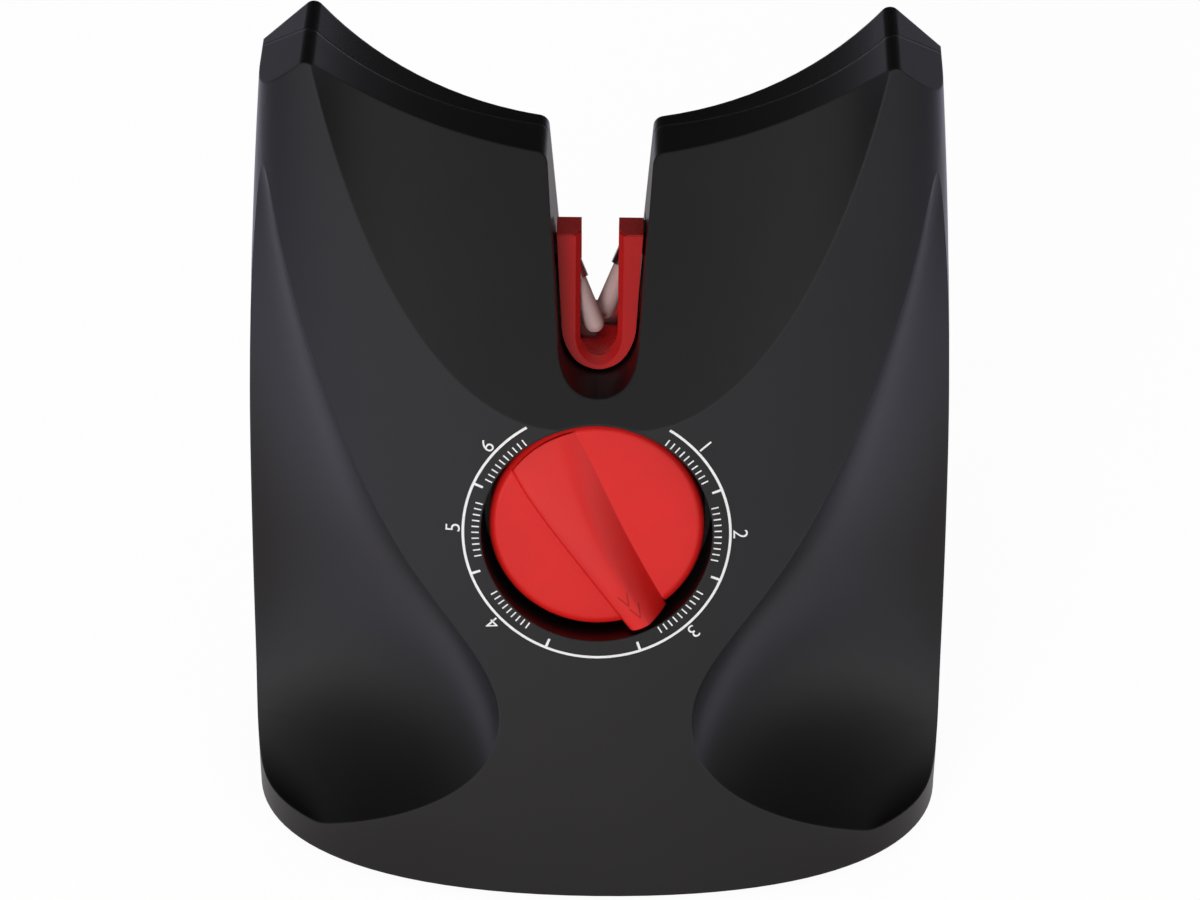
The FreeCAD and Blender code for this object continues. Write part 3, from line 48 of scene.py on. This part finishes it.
back = Vector((math.sin(VIEW_AZIMUTH) * math.cos(VIEW_ELEVATION),
               -math.cos(VIEW_AZIMUTH) * math.cos(VIEW_ELEVATION),
               math.sin(VIEW_ELEVATION)))
across = Vector((0, 0, 1)).cross(back).normalized()
upward = back.cross(across)
right = across * math.cos(VIEW_ROLL) + upward * math.sin(VIEW_ROLL)
up = upward * math.cos(VIEW_ROLL) - across * math.sin(VIEW_ROLL)
lens = bpy.data.cameras.new("camera")
lens.lens = VIEW_LENS_MM
lens.sensor_width = VIEW_SENSOR_MM
lens.clip_start = VIEW_NEAREST
camera = bpy.data.objects.new("camera", lens)
camera.matrix_world = Matrix((right, up, back)).transposed().to_4x4()
camera.location = VIEW_TARGET + back * VIEW_DISTANCE
bpy.context.scene.collection.objects.link(camera)
bpy.context.scene.camera = camera
bpy.context.scene.view_settings.view_transform = "Standard"


# The studio: a pale table that runs on far behind the sharpener, a plain room round it,
# and soft lamps in front, at the right, overhead and behind. It is no part of the object.
class Tone:
    """A socket of a node tree; arithmetic on it adds Math nodes."""

    def __init__(self, shades, socket):
        self.shades = shades
        self.socket = socket

    def _math(self, operation, first, second):
        return self.shades.node("ShaderNodeMath", {"operation": operation}, {0: first, 1: second})

    def __add__(self, other):
        return self._math("ADD", self, other)

    def __mul__(self, other):
        return self._math("MULTIPLY", self, other)

    def __sub__(self, other):
        return self._math("SUBTRACT", self, other)

    def __rsub__(self, other):
        return self._math("SUBTRACT", other, self)

    __radd__ = __add__
    __rmul__ = __mul__


class Shades:
    """A tree of shader nodes; node() adds any node and gives back one of its outputs."""

    def __init__(self, tree, shader):
        self.tree = tree
        self.shader = shader

    def feed(self, socket, value, node=None):
        target = (node or self.shader).inputs[socket]
        if isinstance(value, Tone):
            self.tree.links.new(value.socket, target)
        else:
            target.default_value = value

    def node(self, kind, settings=None, sockets=None, output=0):
        made = self.tree.nodes.new(kind)
        for name, value in (settings or {}).items():
            if name == "stops":
                while len(made.color_ramp.elements) < len(value):
                    made.color_ramp.elements.new(1.0)
                for element, (place, grey) in zip(made.color_ramp.elements, value):
                    element.position = place
                    element.color = (grey, grey, grey, 1.0)
            else:
                setattr(made, name, value)
        for name, value in (sockets or {}).items():
            self.feed(name, value, made)
        return Tone(self, made.outputs[output])

    def ray(self, kind):
        return self.node("ShaderNodeLightPath", output=f"Is {kind} Ray")

    def part_of(self, vector, letter):
        return self.node("ShaderNodeSeparateXYZ", {}, {0: vector}, letter)

    def ramp(self, tone, *stops):
        return self.node("ShaderNodeValToRGB", {"stops": stops}, {"Fac": tone})

    def mix(self, tone, first, second):
        first, second = ((*c, 1.0) if isinstance(c, tuple) else c for c in (first, second))
        return self.node("ShaderNodeMix", {"data_type": "RGBA"}, {0: tone, 6: first, 7: second}, 2)


class Finish(Shades):
    """The finish of a piece: a material whose shader is fed from its own nodes."""

    def __init__(self, name, base, roughness, **sockets):
        self.material = bpy.data.materials.new(name)
        self.material.use_nodes = True
        tree = self.material.node_tree
        super().__init__(tree, tree.nodes["Principled BSDF"])
        self.feed("Base Color", (*base, 1.0))
        self.feed("Roughness", roughness)
        for socket, value in sockets.items():
            self.feed(socket.replace("_", " "), value)

    def place(self):
        return self.node("ShaderNodeTexCoord", output="Object")

    def noise(self, scale, detail=2.0):
        return self.node("ShaderNodeTexNoise", {"noise_dimensions": "3D"},
                         {"Vector": self.place(), "Scale": scale, "Detail": detail}, "Fac")

    def relief(self, height, depth, strength, edge=0.0):
        sockets = {"Height": height, "Distance": depth, "Strength": strength}
        if edge:
            sockets["Normal"] = self.node("ShaderNodeBevel", {"samples": 6}, {"Radius": edge})
        self.feed("Normal", self.node("ShaderNodeBump", {}, sockets))


TABLE_CORNERS = ((-4, -3, 0), (4, -3, 0), (4, 6, 0), (-4, 6, 0))
TABLE_COLOUR = (0.86, 0.86, 0.86)
TABLE_ROUGHNESS = 0.9
TABLE_SHOWN = 0.86
TABLE_SEEN_GLOW = 1.1
TABLE_PLAIN_GLOW = 0.40
# Painted reflections: in glossy and transmission rays only, the table glows brighter in a pool in front and
# to the left, and in bluish strips at either side of the sharpener. These paint the sheens on the black
# body.
FRONT_POOL_CENTRE = (-0.22, -0.50, 0.0)
FRONT_POOL_GLOW = 0.85
SIDE_POOL_GLOW = 0.62
FRONT_REFLECTION_TINT = (1.0, 0.93, 0.91)
SIDE_REFLECTION_TINT = (0.93, 0.91, 1.12)
ROOM_GLOW = 0.11

table = bpy.data.meshes.new("table")
table.from_pydata(TABLE_CORNERS, [], [(0, 1, 2, 3)])
table_top = bpy.data.objects.new("table_top", table)
bpy.context.scene.collection.objects.link(table_top)
pale = Finish("pale_table", TABLE_COLOUR, TABLE_ROUGHNESS, Specular_IOR_Level=0.0)
seen = pale.ray("Camera")
mirrored = pale.ray("Glossy")
through = pale.ray("Transmission")
# The painted reflection pools: a round one in front, strips at the sides, warm in front and bluish at the
# sides; camera rays see plain white.
to_front = pale.node("ShaderNodeVectorMath", {"operation": "DISTANCE"},
                     {0: pale.place(), 1: FRONT_POOL_CENTRE}, "Value")
front_pool = pale.ramp(to_front, (0.0, 1.0), (0.2, 0.72), (0.45, 0.2), (0.7, 0.0))
sideways = pale.node("ShaderNodeMath", {"operation": "ABSOLUTE"}, {0: pale.part_of(pale.place(), "X")})
away = pale.part_of(pale.place(), "Y")
side_pool = pale.ramp(sideways, (0.06, 0.0), (0.11, 1.0), (0.20, 0.55), (0.40, 0.0))
side_pool = side_pool * pale.ramp(away + 0.3, (0.0, 0.0), (0.2, 1.0))
side_share = pale.ramp(sideways, (0.06, 0.0), (0.12, 1.0))
tint = pale.mix(seen, pale.mix(side_share, FRONT_REFLECTION_TINT, SIDE_REFLECTION_TINT), (1.0, 1.0, 1.0))
pools = front_pool * FRONT_POOL_GLOW + side_pool * SIDE_POOL_GLOW + TABLE_PLAIN_GLOW
glow = pale.node("ShaderNodeEmission", {}, {
    "Color": tint, "Strength": seen * TABLE_SEEN_GLOW + (mirrored + through) * pools})
blend = pale.node("ShaderNodeMixShader", {}, {
    0: (seen + mirrored + through) * TABLE_SHOWN, 1: Tone(pale, pale.shader.outputs[0]), 2: glow})
pale.feed("Surface", blend, pale.tree.nodes["Material Output"])
table.materials.append(pale.material)

sky = bpy.data.worlds.new("sky")
bpy.context.scene.world = sky
sky.use_nodes = True
room = Shades(sky.node_tree, sky.node_tree.nodes["Background"])
room.feed("Color", (1.0, 1.0, 1.0, 1.0))
heading = room.node("ShaderNodeTexCoord", output="Generated")
front_glow = room.ramp(room.part_of(heading, "Y") * 0.5 + 0.5, (0.08, 1.0), (0.5, 0.40), (0.85, 0.06))
low_glow = room.ramp(room.part_of(heading, "Z"), (0.30, 1.0), (0.58, 0.30))
plain = room.ray("Camera")
sheen = room.ray("Glossy")
clear = room.ray("Transmission")
room.feed("Strength", plain + (sheen + clear) * front_glow * low_glow
          + (1 - plain - sheen - clear) * ROOM_GLOW)

for name, place, aim, width, height, power, colour in (
        ("lamp_front", (-0.36, -1.00, 0.17), (0, 0, 0.08), 0.6, 0.24, 8.6, (1.0, 0.99, 0.98)),
        ("lamp_right", (0.65, -0.65, 0.30), (0, 0, 0.07), 0.5, 0.5, 1.0, (0.95, 0.97, 1.0)),
        ("lamp_over", (0.0, -0.20, 0.95), (0, 0, 0.08), 0.7, 0.5, 0.9, (1.0, 0.99, 0.97)),
        ("lamp_back", (0.10, 0.95, 0.60), (0, 0, 0.08), 0.7, 0.5, 1.6, (1.0, 0.99, 0.97))):
    lamp = bpy.data.lights.new(name, "AREA")
    lamp.shape = "RECTANGLE"
    lamp.size = width
    lamp.size_y = height
    lamp.energy = power
    lamp.color = colour
    holder = bpy.data.objects.new(name, lamp)
    holder.location = place
    holder.rotation_euler = (Vector(aim) - Vector(place)).to_track_quat("-Z", "Y").to_euler()
    holder.visible_glossy = False
    bpy.context.scene.collection.objects.link(holder)


# The front housing: one thin-walled moulding in black satin plastic that holds the dial,
# the guide insert and the crosshead's guide. A fine spark-eroded texture in the mould
# breaks up its gloss, and its edges look a little round.
def paint(finish, *names):
    """Give carried-over CAD nodes a finish."""
    for name in names:
        nodes[name].data.materials.clear()
        nodes[name].data.materials.append(finish.material)


CLOUD_SCALE = 38.0
GRAIN_SCALE = 5200.0
GRAIN_DEPTH = 0.000006
CASE_EDGE = 0.0006


def moulded(name, base, roughness, grain=GRAIN_DEPTH, scale=GRAIN_SCALE, edge=0.0):
    """Plastic as it leaves a finely eroded mould, with faint uneven gloss and soft edges."""
    finish = Finish(name, base, roughness)
    cloud = finish.noise(CLOUD_SCALE, 3.0)
    fine = finish.noise(scale, 2.0)
    lighter = tuple(min(1.0, c * 1.25 + 0.0005) for c in base)
    finish.feed("Base Color", finish.mix(finish.ramp(cloud, (0.35, 0.0), (0.7, 0.6)), base, lighter))
    finish.feed("Roughness", roughness - 0.03 + cloud * 0.05 + fine * 0.03)
    finish.relief(fine, grain, 0.5, edge)
    return finish


housing_black = moulded("satin_black", (0.0045, 0.0042, 0.0048), 0.34, edge=CASE_EDGE)
paint(housing_black, "front_housing")


# The rear cover: a second black moulding from a more polished mould, held by four
# screws. It closes the back and shows as the glossier band along the top edge.
cover_black = moulded("cover_black", (0.0035, 0.0034, 0.0037), 0.26, edge=CASE_EDGE)
paint(cover_black, "rear_cover")


# The ring round the dial: a thin white line, open at the top, with six ticks inside
# it. It is pad-printed on the face in white ink, a few hundredths of a millimetre thick.
FACE_LEAN = math.radians(15.5)
DIAL_CENTRE = Vector((0, -0.013826, 0.07455))
face_out = Vector((0, -math.cos(FACE_LEAN), math.sin(FACE_LEAN)))
face_up = Vector((0, math.sin(FACE_LEAN), math.cos(FACE_LEAN)))
PROBE_START = 0.02
INK_THICKNESS = 0.00003
INK_WHITE = (0.84, 0.84, 0.84)
INK_WORN = (0.7, 0.7, 0.7)
RING_RADIUS = 0.0250
RING_LINE = 0.00050
RING_START = 32.5
RING_END = 328.5
RING_STEPS = 180
TICK_TURNS = (68.4, 111.4, 160.3, 202.2, 250.3, 293.3)
TICK_LENGTH = 0.0019

white_ink = Finish("white_ink", INK_WHITE, 0.5)
wear = white_ink.noise(2500.0, 3.0)
white_ink.feed("Base Color", white_ink.mix(white_ink.ramp(wear, (0.3, 0.0), (0.8, 0.5)),
                                           INK_WHITE, INK_WORN))
face_tree = BVHTree.FromPolygons([v.co for v in nodes["front_housing"].data.vertices],
                                 [p.vertices[:] for p in nodes["front_housing"].data.polygons])


def on_face(x, y, lift):
    """The point of the housing's face under a place drawn flat on the dial's plane."""
    start = DIAL_CENTRE + Vector((x, 0, 0)) + face_up * y + face_out * PROBE_START
    hit = face_tree.ray_cast(start, -face_out)[0]
    return hit + face_out * lift


def add_piece(mesh, name, finish, body):
    """Put a mesh in the scene as a piece that rides a body."""
    piece = bpy.data.objects.new(name, mesh)
    bpy.context.scene.collection.objects.link(piece)
    mesh.materials.append(finish.material)
    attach(piece, body)
    return piece


def at_clock(degrees, radius):
    """The flat place at a clock angle and a distance from the dial's centre."""
    angle = math.radians(degrees)
    return radius * math.sin(angle), radius * math.cos(angle)


def ink_strip(paths, name):
    """Flat printed bands, each a pair of edges drawn as lists of places on the face."""
    ink = bmesh.new()
    for inner, outer in paths:
        low = [ink.verts.new(on_face(*p, INK_THICKNESS)) for p in inner]
        high = [ink.verts.new(on_face(*p, INK_THICKNESS)) for p in outer]
        for i in range(len(low) - 1):
            ink.faces.new((low[i], low[i + 1], high[i + 1], high[i]))
    bmesh.ops.recalc_face_normals(ink, faces=ink.faces)
    mesh = bpy.data.meshes.new(name)
    ink.to_mesh(mesh)
    ink.free()
    add_piece(mesh, name, white_ink, "housing")


turns = [RING_START + (RING_END - RING_START) * i / RING_STEPS for i in range(RING_STEPS + 1)]
ring = ([at_clock(t, RING_RADIUS - RING_LINE / 2) for t in turns],
        [at_clock(t, RING_RADIUS + RING_LINE / 2) for t in turns])
ticks = []
half = math.degrees(RING_LINE / 2 / RING_RADIUS)
for turn in TICK_TURNS:
    ticks.append(([at_clock(turn - half, RING_RADIUS - TICK_LENGTH), at_clock(turn - half, RING_RADIUS)],
                  [at_clock(turn + half, RING_RADIUS - TICK_LENGTH), at_clock(turn + half, RING_RADIUS)]))
ink_strip([ring] + ticks, "printed_ring")


# The fine graduations: six groups of short lines between the knob and the ring, one
# for each sector. They are printed in the same pass and the same white ink.
FINE_SPANS = ((35.0, 62.0), (76.0, 103.0), (121.0, 148.0), (214.5, 237.5), (258.0, 285.0), (297.5, 323.5))
FINE_STEP = 3.0
FINE_INNER = 0.0220
FINE_OUTER = 0.0234
FINE_HALF_TURN = 0.34

fine = []
for first, last in FINE_SPANS:
    count = round((last - first) / FINE_STEP)
    for i in range(count + 1):
        turn = first + (last - first) * i / count
        fine.append([[at_clock(turn + side * FINE_HALF_TURN, radius) for radius in (FINE_INNER, FINE_OUTER)]
                     for side in (-1, 1)])
ink_strip(fine, "printed_graduations")


# The numbers 1 to 6 stand outside the ring with their feet towards the dial's centre.
# They are plain figures, printed in the same pass and the same white ink.
NUMBER_TURNS = (48.3, 89.6, 136.8, 226.2, 271.8, 310.7)
NUMBER_RADIUS = 0.0269
NUMBER_HEIGHT = 0.0027
NUMBER_THINNING = -0.004

for number, turn in enumerate(NUMBER_TURNS, start=1):
    glyph = bpy.data.curves.new(f"number_{number}", "FONT")
    glyph.body = str(number)
    glyph.align_x = "CENTER"
    glyph.align_y = "CENTER"
    glyph.offset = NUMBER_THINNING
    glyph.resolution_u = 6
    text = bpy.data.objects.new("glyph", glyph)
    bpy.context.scene.collection.objects.link(text)
    bpy.context.view_layer.update()
    mesh = bpy.data.meshes.new_from_object(text)
    bpy.data.objects.remove(text)
    height = max(v.co.y for v in mesh.vertices) - min(v.co.y for v in mesh.vertices)
    middle_x = (max(v.co.x for v in mesh.vertices) + min(v.co.x for v in mesh.vertices)) / 2
    middle_y = (max(v.co.y for v in mesh.vertices) + min(v.co.y for v in mesh.vertices)) / 2
    angle = math.radians(turn)
    for v in mesh.vertices:
        x = (v.co.x - middle_x) * NUMBER_HEIGHT / height
        y = (v.co.y - middle_y) * NUMBER_HEIGHT / height + NUMBER_RADIUS
        v.co = on_face(x * math.cos(angle) + y * math.sin(angle),
                       y * math.cos(angle) - x * math.sin(angle), INK_THICKNESS)
    add_piece(mesh, f"printed_number_{number}", white_ink, "housing")


# The guide insert: a U moulded in red plastic and pressed into the slot, where it keeps
# the blade upright over the rods.
guide_red = moulded("guide_red", (0.44, 0.012, 0.012), 0.26, 0.000003, edge=0.00012)
paint(guide_red, "guide_insert")


# The insert's front wall: the thin leaning face of the U, moulded with it, that hides
# the windows in which the rods swing. Its inner edge slopes back to lead the blade in.
RIM_LEAN = math.tan(math.radians(34.8))
RIM_PROUD = 0.00012
RIM_DEPTH = 0.00030
RIM_SLOPE_DEPTH = 0.00110
RIM_BACK_DEPTH = 0.00120
RIM_BEVEL = 0.0010
RIM_FLOOR_PLACE = 0.0050
RIM_FLOOR = 0.1016
RIM_TOP = 0.12035
RIM_ARM_STEPS = 8
RIM_BOWL_STEPS = 32
OUTER_RADIUS = 0.0070
OUTER_CENTRE = 0.1070
OUTER_TAPER = 0.080
INNER_RADIUS = 0.0035
INNER_CENTRE = 0.1051


def rim_front(z):
    """Depth of the insert's leaning front plane at a height."""
    return RIM_FLOOR_PLACE + (z - RIM_FLOOR) * RIM_LEAN


def rim_stations():
    """Outer and inner places, from the left arm's top down and round to the right arm's."""
    shares = [i / RIM_ARM_STEPS for i in range(RIM_ARM_STEPS)]
    arm = [(RIM_TOP - (RIM_TOP - OUTER_CENTRE) * share, RIM_TOP - (RIM_TOP - INNER_CENTRE) * share)
           for share in shares]
    left = [((-OUTER_RADIUS - OUTER_TAPER * (a - OUTER_CENTRE), a), (-INNER_RADIUS, b)) for a, b in arm]
    turns = [math.pi * (1 + i / RIM_BOWL_STEPS) for i in range(RIM_BOWL_STEPS + 1)]
    bowl = [((OUTER_RADIUS * math.cos(t), OUTER_CENTRE + OUTER_RADIUS * math.sin(t)),
             (INNER_RADIUS * math.cos(t), INNER_CENTRE + INNER_RADIUS * math.sin(t))) for t in turns]
    right = [((-outer[0], outer[1]), (-inner[0], inner[1])) for outer, inner in reversed(left)]
    return left + bowl + right


rim = bmesh.new()
loops = []
for outer, inner in rim_stations():
    reach = math.hypot(outer[0] - inner[0], outer[1] - inner[1])
    part = RIM_BEVEL / reach
    crest = (inner[0] + (outer[0] - inner[0]) * part, inner[1] + (outer[1] - inner[1]) * part)
    loops.append([rim.verts.new((x, rim_front(z) + depth, z)) for (x, z), depth in (
        (outer, RIM_DEPTH), (outer, -RIM_PROUD), (crest, -RIM_PROUD), (inner, RIM_SLOPE_DEPTH),
        (inner, RIM_BACK_DEPTH))])
for one, two in zip(loops, loops[1:]):
    for i in range(len(one)):
        j = (i + 1) % len(one)
        rim.faces.new((one[i], one[j], two[j], two[i]))
rim.faces.new(loops[0])
rim.faces.new(list(reversed(loops[-1])))
bmesh.ops.recalc_face_normals(rim, faces=rim.faces)
rim_mesh = bpy.data.meshes.new("guide_rim")
rim.to_mesh(rim_mesh)
rim.free()
add_piece(rim_mesh, "guide_rim", guide_red, "housing")


# The two rods: fine-grained fired ceramic, ground round and crossed in a V. Each is
# cemented in a steel ferrule on its own arm behind the insert. The ceramic is white; the
# pink in its colour is painted reflection of the red insert around it.
CERAMIC_PALE_AND_RED_REFLECTION = (0.52, 0.37, 0.36)
CERAMIC_DEEP_AND_RED_REFLECTION = (0.45, 0.30, 0.29)
GRIT_DEPTH = 0.000008

# Painted reflection: the pink in both tones is the insert's red seen on white ceramic; the random grain
# between them is real.
ceramic = Finish("ceramic", CERAMIC_PALE_AND_RED_REFLECTION, 0.42)
grit = ceramic.noise(6500.0, 3.0)
ceramic.feed("Base Color", ceramic.mix(ceramic.ramp(grit, (0.35, 0.0), (0.75, 0.7)),
                                       CERAMIC_PALE_AND_RED_REFLECTION, CERAMIC_DEEP_AND_RED_REFLECTION))
ceramic.relief(grit, GRIT_DEPTH, 0.6)
paint(ceramic, "ceramic_rod_left", "ceramic_rod_right")


# The dial: a knob moulded in red plastic with a raised pointer to grip, pressed on the
# steel shaft that comes through the recess floor.
knob_red = moulded("knob_red", (0.60, 0.012, 0.010), 0.36, 0.000004, edge=0.0004)
paint(knob_red, "dial_knob")


# The two small chevrons near the pointer's tip. They are sunk lines in the moulding, in
# which the red looks darker from shade. Here they are flat strips laid just over the knob,
# and their darker red is painted shade.
POINTER_TURN = 150.0
CHEVRON_TIPS = ((0.0155, 0.0018), (0.0186, 0.0010))
CHEVRON_LENGTH = 0.0026
CHEVRON_HALF = 0.00095
CHEVRON_LINE = 0.00026
CHEVRON_LIFT = 0.00003
CHEVRON_STEPS = 6
GROOVE_SHADE_PALE = (0.38, 0.007, 0.006)
GROOVE_SHADE_DEEP = (0.30, 0.005, 0.004)

# Painted shade: the strips' darker red, in random spots of deeper red, stands in for the shade in the sunk
# lines.
groove_shade = Finish("knob_groove_shade", GROOVE_SHADE_PALE, 0.5)
groove_shade.feed("Base Color", groove_shade.mix(groove_shade.noise(1800.0), GROOVE_SHADE_PALE, GROOVE_SHADE_DEEP))
knob_tree = BVHTree.FromPolygons([v.co for v in nodes["dial_knob"].data.vertices],
                                 [p.vertices[:] for p in nodes["dial_knob"].data.polygons])


def on_pointer(along_it, across_it):
    """The point of the knob's surface under a place drawn along and across the pointer."""
    turn = math.radians(POINTER_TURN)
    x = along_it * math.sin(turn) + across_it * math.cos(turn)
    y = along_it * math.cos(turn) - across_it * math.sin(turn)
    start = DIAL_CENTRE + Vector((x, 0, 0)) + face_up * y + face_out * PROBE_START
    return knob_tree.ray_cast(start, -face_out)[0] + face_out * CHEVRON_LIFT


groove_shade_strips = bmesh.new()
for tip_along, tip_across in CHEVRON_TIPS:
    for side in (-1, 1):
        start = (tip_along - CHEVRON_LENGTH, tip_across + side * CHEVRON_HALF)
        for i in range(CHEVRON_STEPS):
            ends = []
            for share in (i / CHEVRON_STEPS, (i + 1) / CHEVRON_STEPS):
                along = start[0] + (tip_along - start[0]) * share
                middle = start[1] + (tip_across - start[1]) * share
                ends.append([groove_shade_strips.verts.new(on_pointer(along, middle - CHEVRON_LINE / 2)),
                             groove_shade_strips.verts.new(on_pointer(along, middle + CHEVRON_LINE / 2))])
            groove_shade_strips.faces.new((ends[0][0], ends[1][0], ends[1][1], ends[0][1]))
bmesh.ops.recalc_face_normals(groove_shade_strips, faces=groove_shade_strips.faces)
groove_shade_mesh = bpy.data.meshes.new("pointer_chevrons")
groove_shade_strips.to_mesh(groove_shade_mesh)
groove_shade_strips.free()
add_piece(groove_shade_mesh, "pointer_chevrons", groove_shade, "dial")


# The plain steel pieces: dial shaft, pins, gear axle, ferrules, motor shaft and
# eccentric. They are turned from bar, plated, and pressed into what carries them.
def turned(name, base, roughness, scale=2600.0):
    """Metal with the fine lines that a tool, a die or a stack of sheets leaves."""
    finish = Finish(name, base, roughness, Metallic=1.0)
    lines = finish.noise(scale, 2.0)
    finish.feed("Roughness", roughness - 0.05 + lines * 0.12)
    finish.relief(lines, 0.000004, 0.5)
    return finish


steel = turned("turned_steel", (0.60, 0.60, 0.61), 0.28)
paint(steel, "dial_shaft", "pivot_pins", "guide_pins", "gear_axle", "rod_ferrule_left",
      "rod_ferrule_right", "motor_shaft", "eccentric")


# The screws: pan heads in zinc-plated steel. They are cold-headed, rolled, and driven
# into bosses in the mouldings.
zinc = turned("zinc_plate", (0.58, 0.57, 0.53), 0.34)
paint(zinc, "base_screws", "rear_screws", "guide_screws", "chassis_screws", "motor_screws")


# The stamped pieces: chassis, shaker plate and detent leaf. They are pressed from sheet
# steel, and the chassis is screwed to four posts on the rear cover.
stamped = turned("stamped_steel", (0.52, 0.53, 0.54), 0.38, 900.0)
paint(stamped, "chassis", "shaker_plate", "detent_spring")


# The running pieces: cam disc, crosshead, shaft bush, arm rollers and drive gear. They
# are moulded in uncoloured nylon, which needs no oil.
nylon = moulded("natural_nylon", (0.72, 0.70, 0.63), 0.45)
paint(nylon, "cam_disc", "crosshead", "shaft_bush", "arm_roller_left", "arm_roller_right",
      "drive_gear")


# The black inner mouldings: rod arms, crosshead guide, the motor's end cap, the power
# switch and the power inlet. They are glass-filled, and duller than the housing.
inner_black = moulded("inner_black", (0.02, 0.02, 0.021), 0.5)
paint(inner_black, "rod_arm_left", "rod_arm_right", "crosshead_guide", "motor_cap",
      "power_switch", "power_inlet")


# The motor: a drawn and plated steel can with ferrite magnets glued inside, a stacked
# armature, and a brass pinion pressed on its shaft.
can_metal = turned("can_metal", (0.62, 0.62, 0.61), 0.3, 1500.0)
paint(can_metal, "motor_can")
ferrite = moulded("ferrite", (0.05, 0.05, 0.055), 0.6)
paint(ferrite, "motor_magnets")
lamination = turned("lamination", (0.30, 0.29, 0.28), 0.45, 1800.0)
paint(lamination, "armature")
brass = turned("brass", (0.70, 0.50, 0.22), 0.3)
paint(brass, "drive_pinion")


# The circuit board: glass-fibre laminate under green solder mask, with black moulded
# parts soldered on. It stands on posts of the base plate.
mask_green = moulded("mask_green", (0.012, 0.12, 0.045), 0.3)
paint(mask_green, "circuit_board")
part_black = moulded("part_black", (0.03, 0.03, 0.035), 0.4)
paint(part_black, "board_parts")


# The base plate: a coarse black moulding that drops inside the housing's skirt and is
# held by four screws. Four soft black rubber feet are pressed into seats under it.
base_black = moulded("base_black", (0.014, 0.014, 0.015), 0.5, 0.00002, 2600.0)
paint(base_black, "base_plate")
rubber = moulded("foot_rubber", (0.02, 0.02, 0.02), 0.8, 0.00002, 2000.0)
paint(rubber, "rubber_feet")
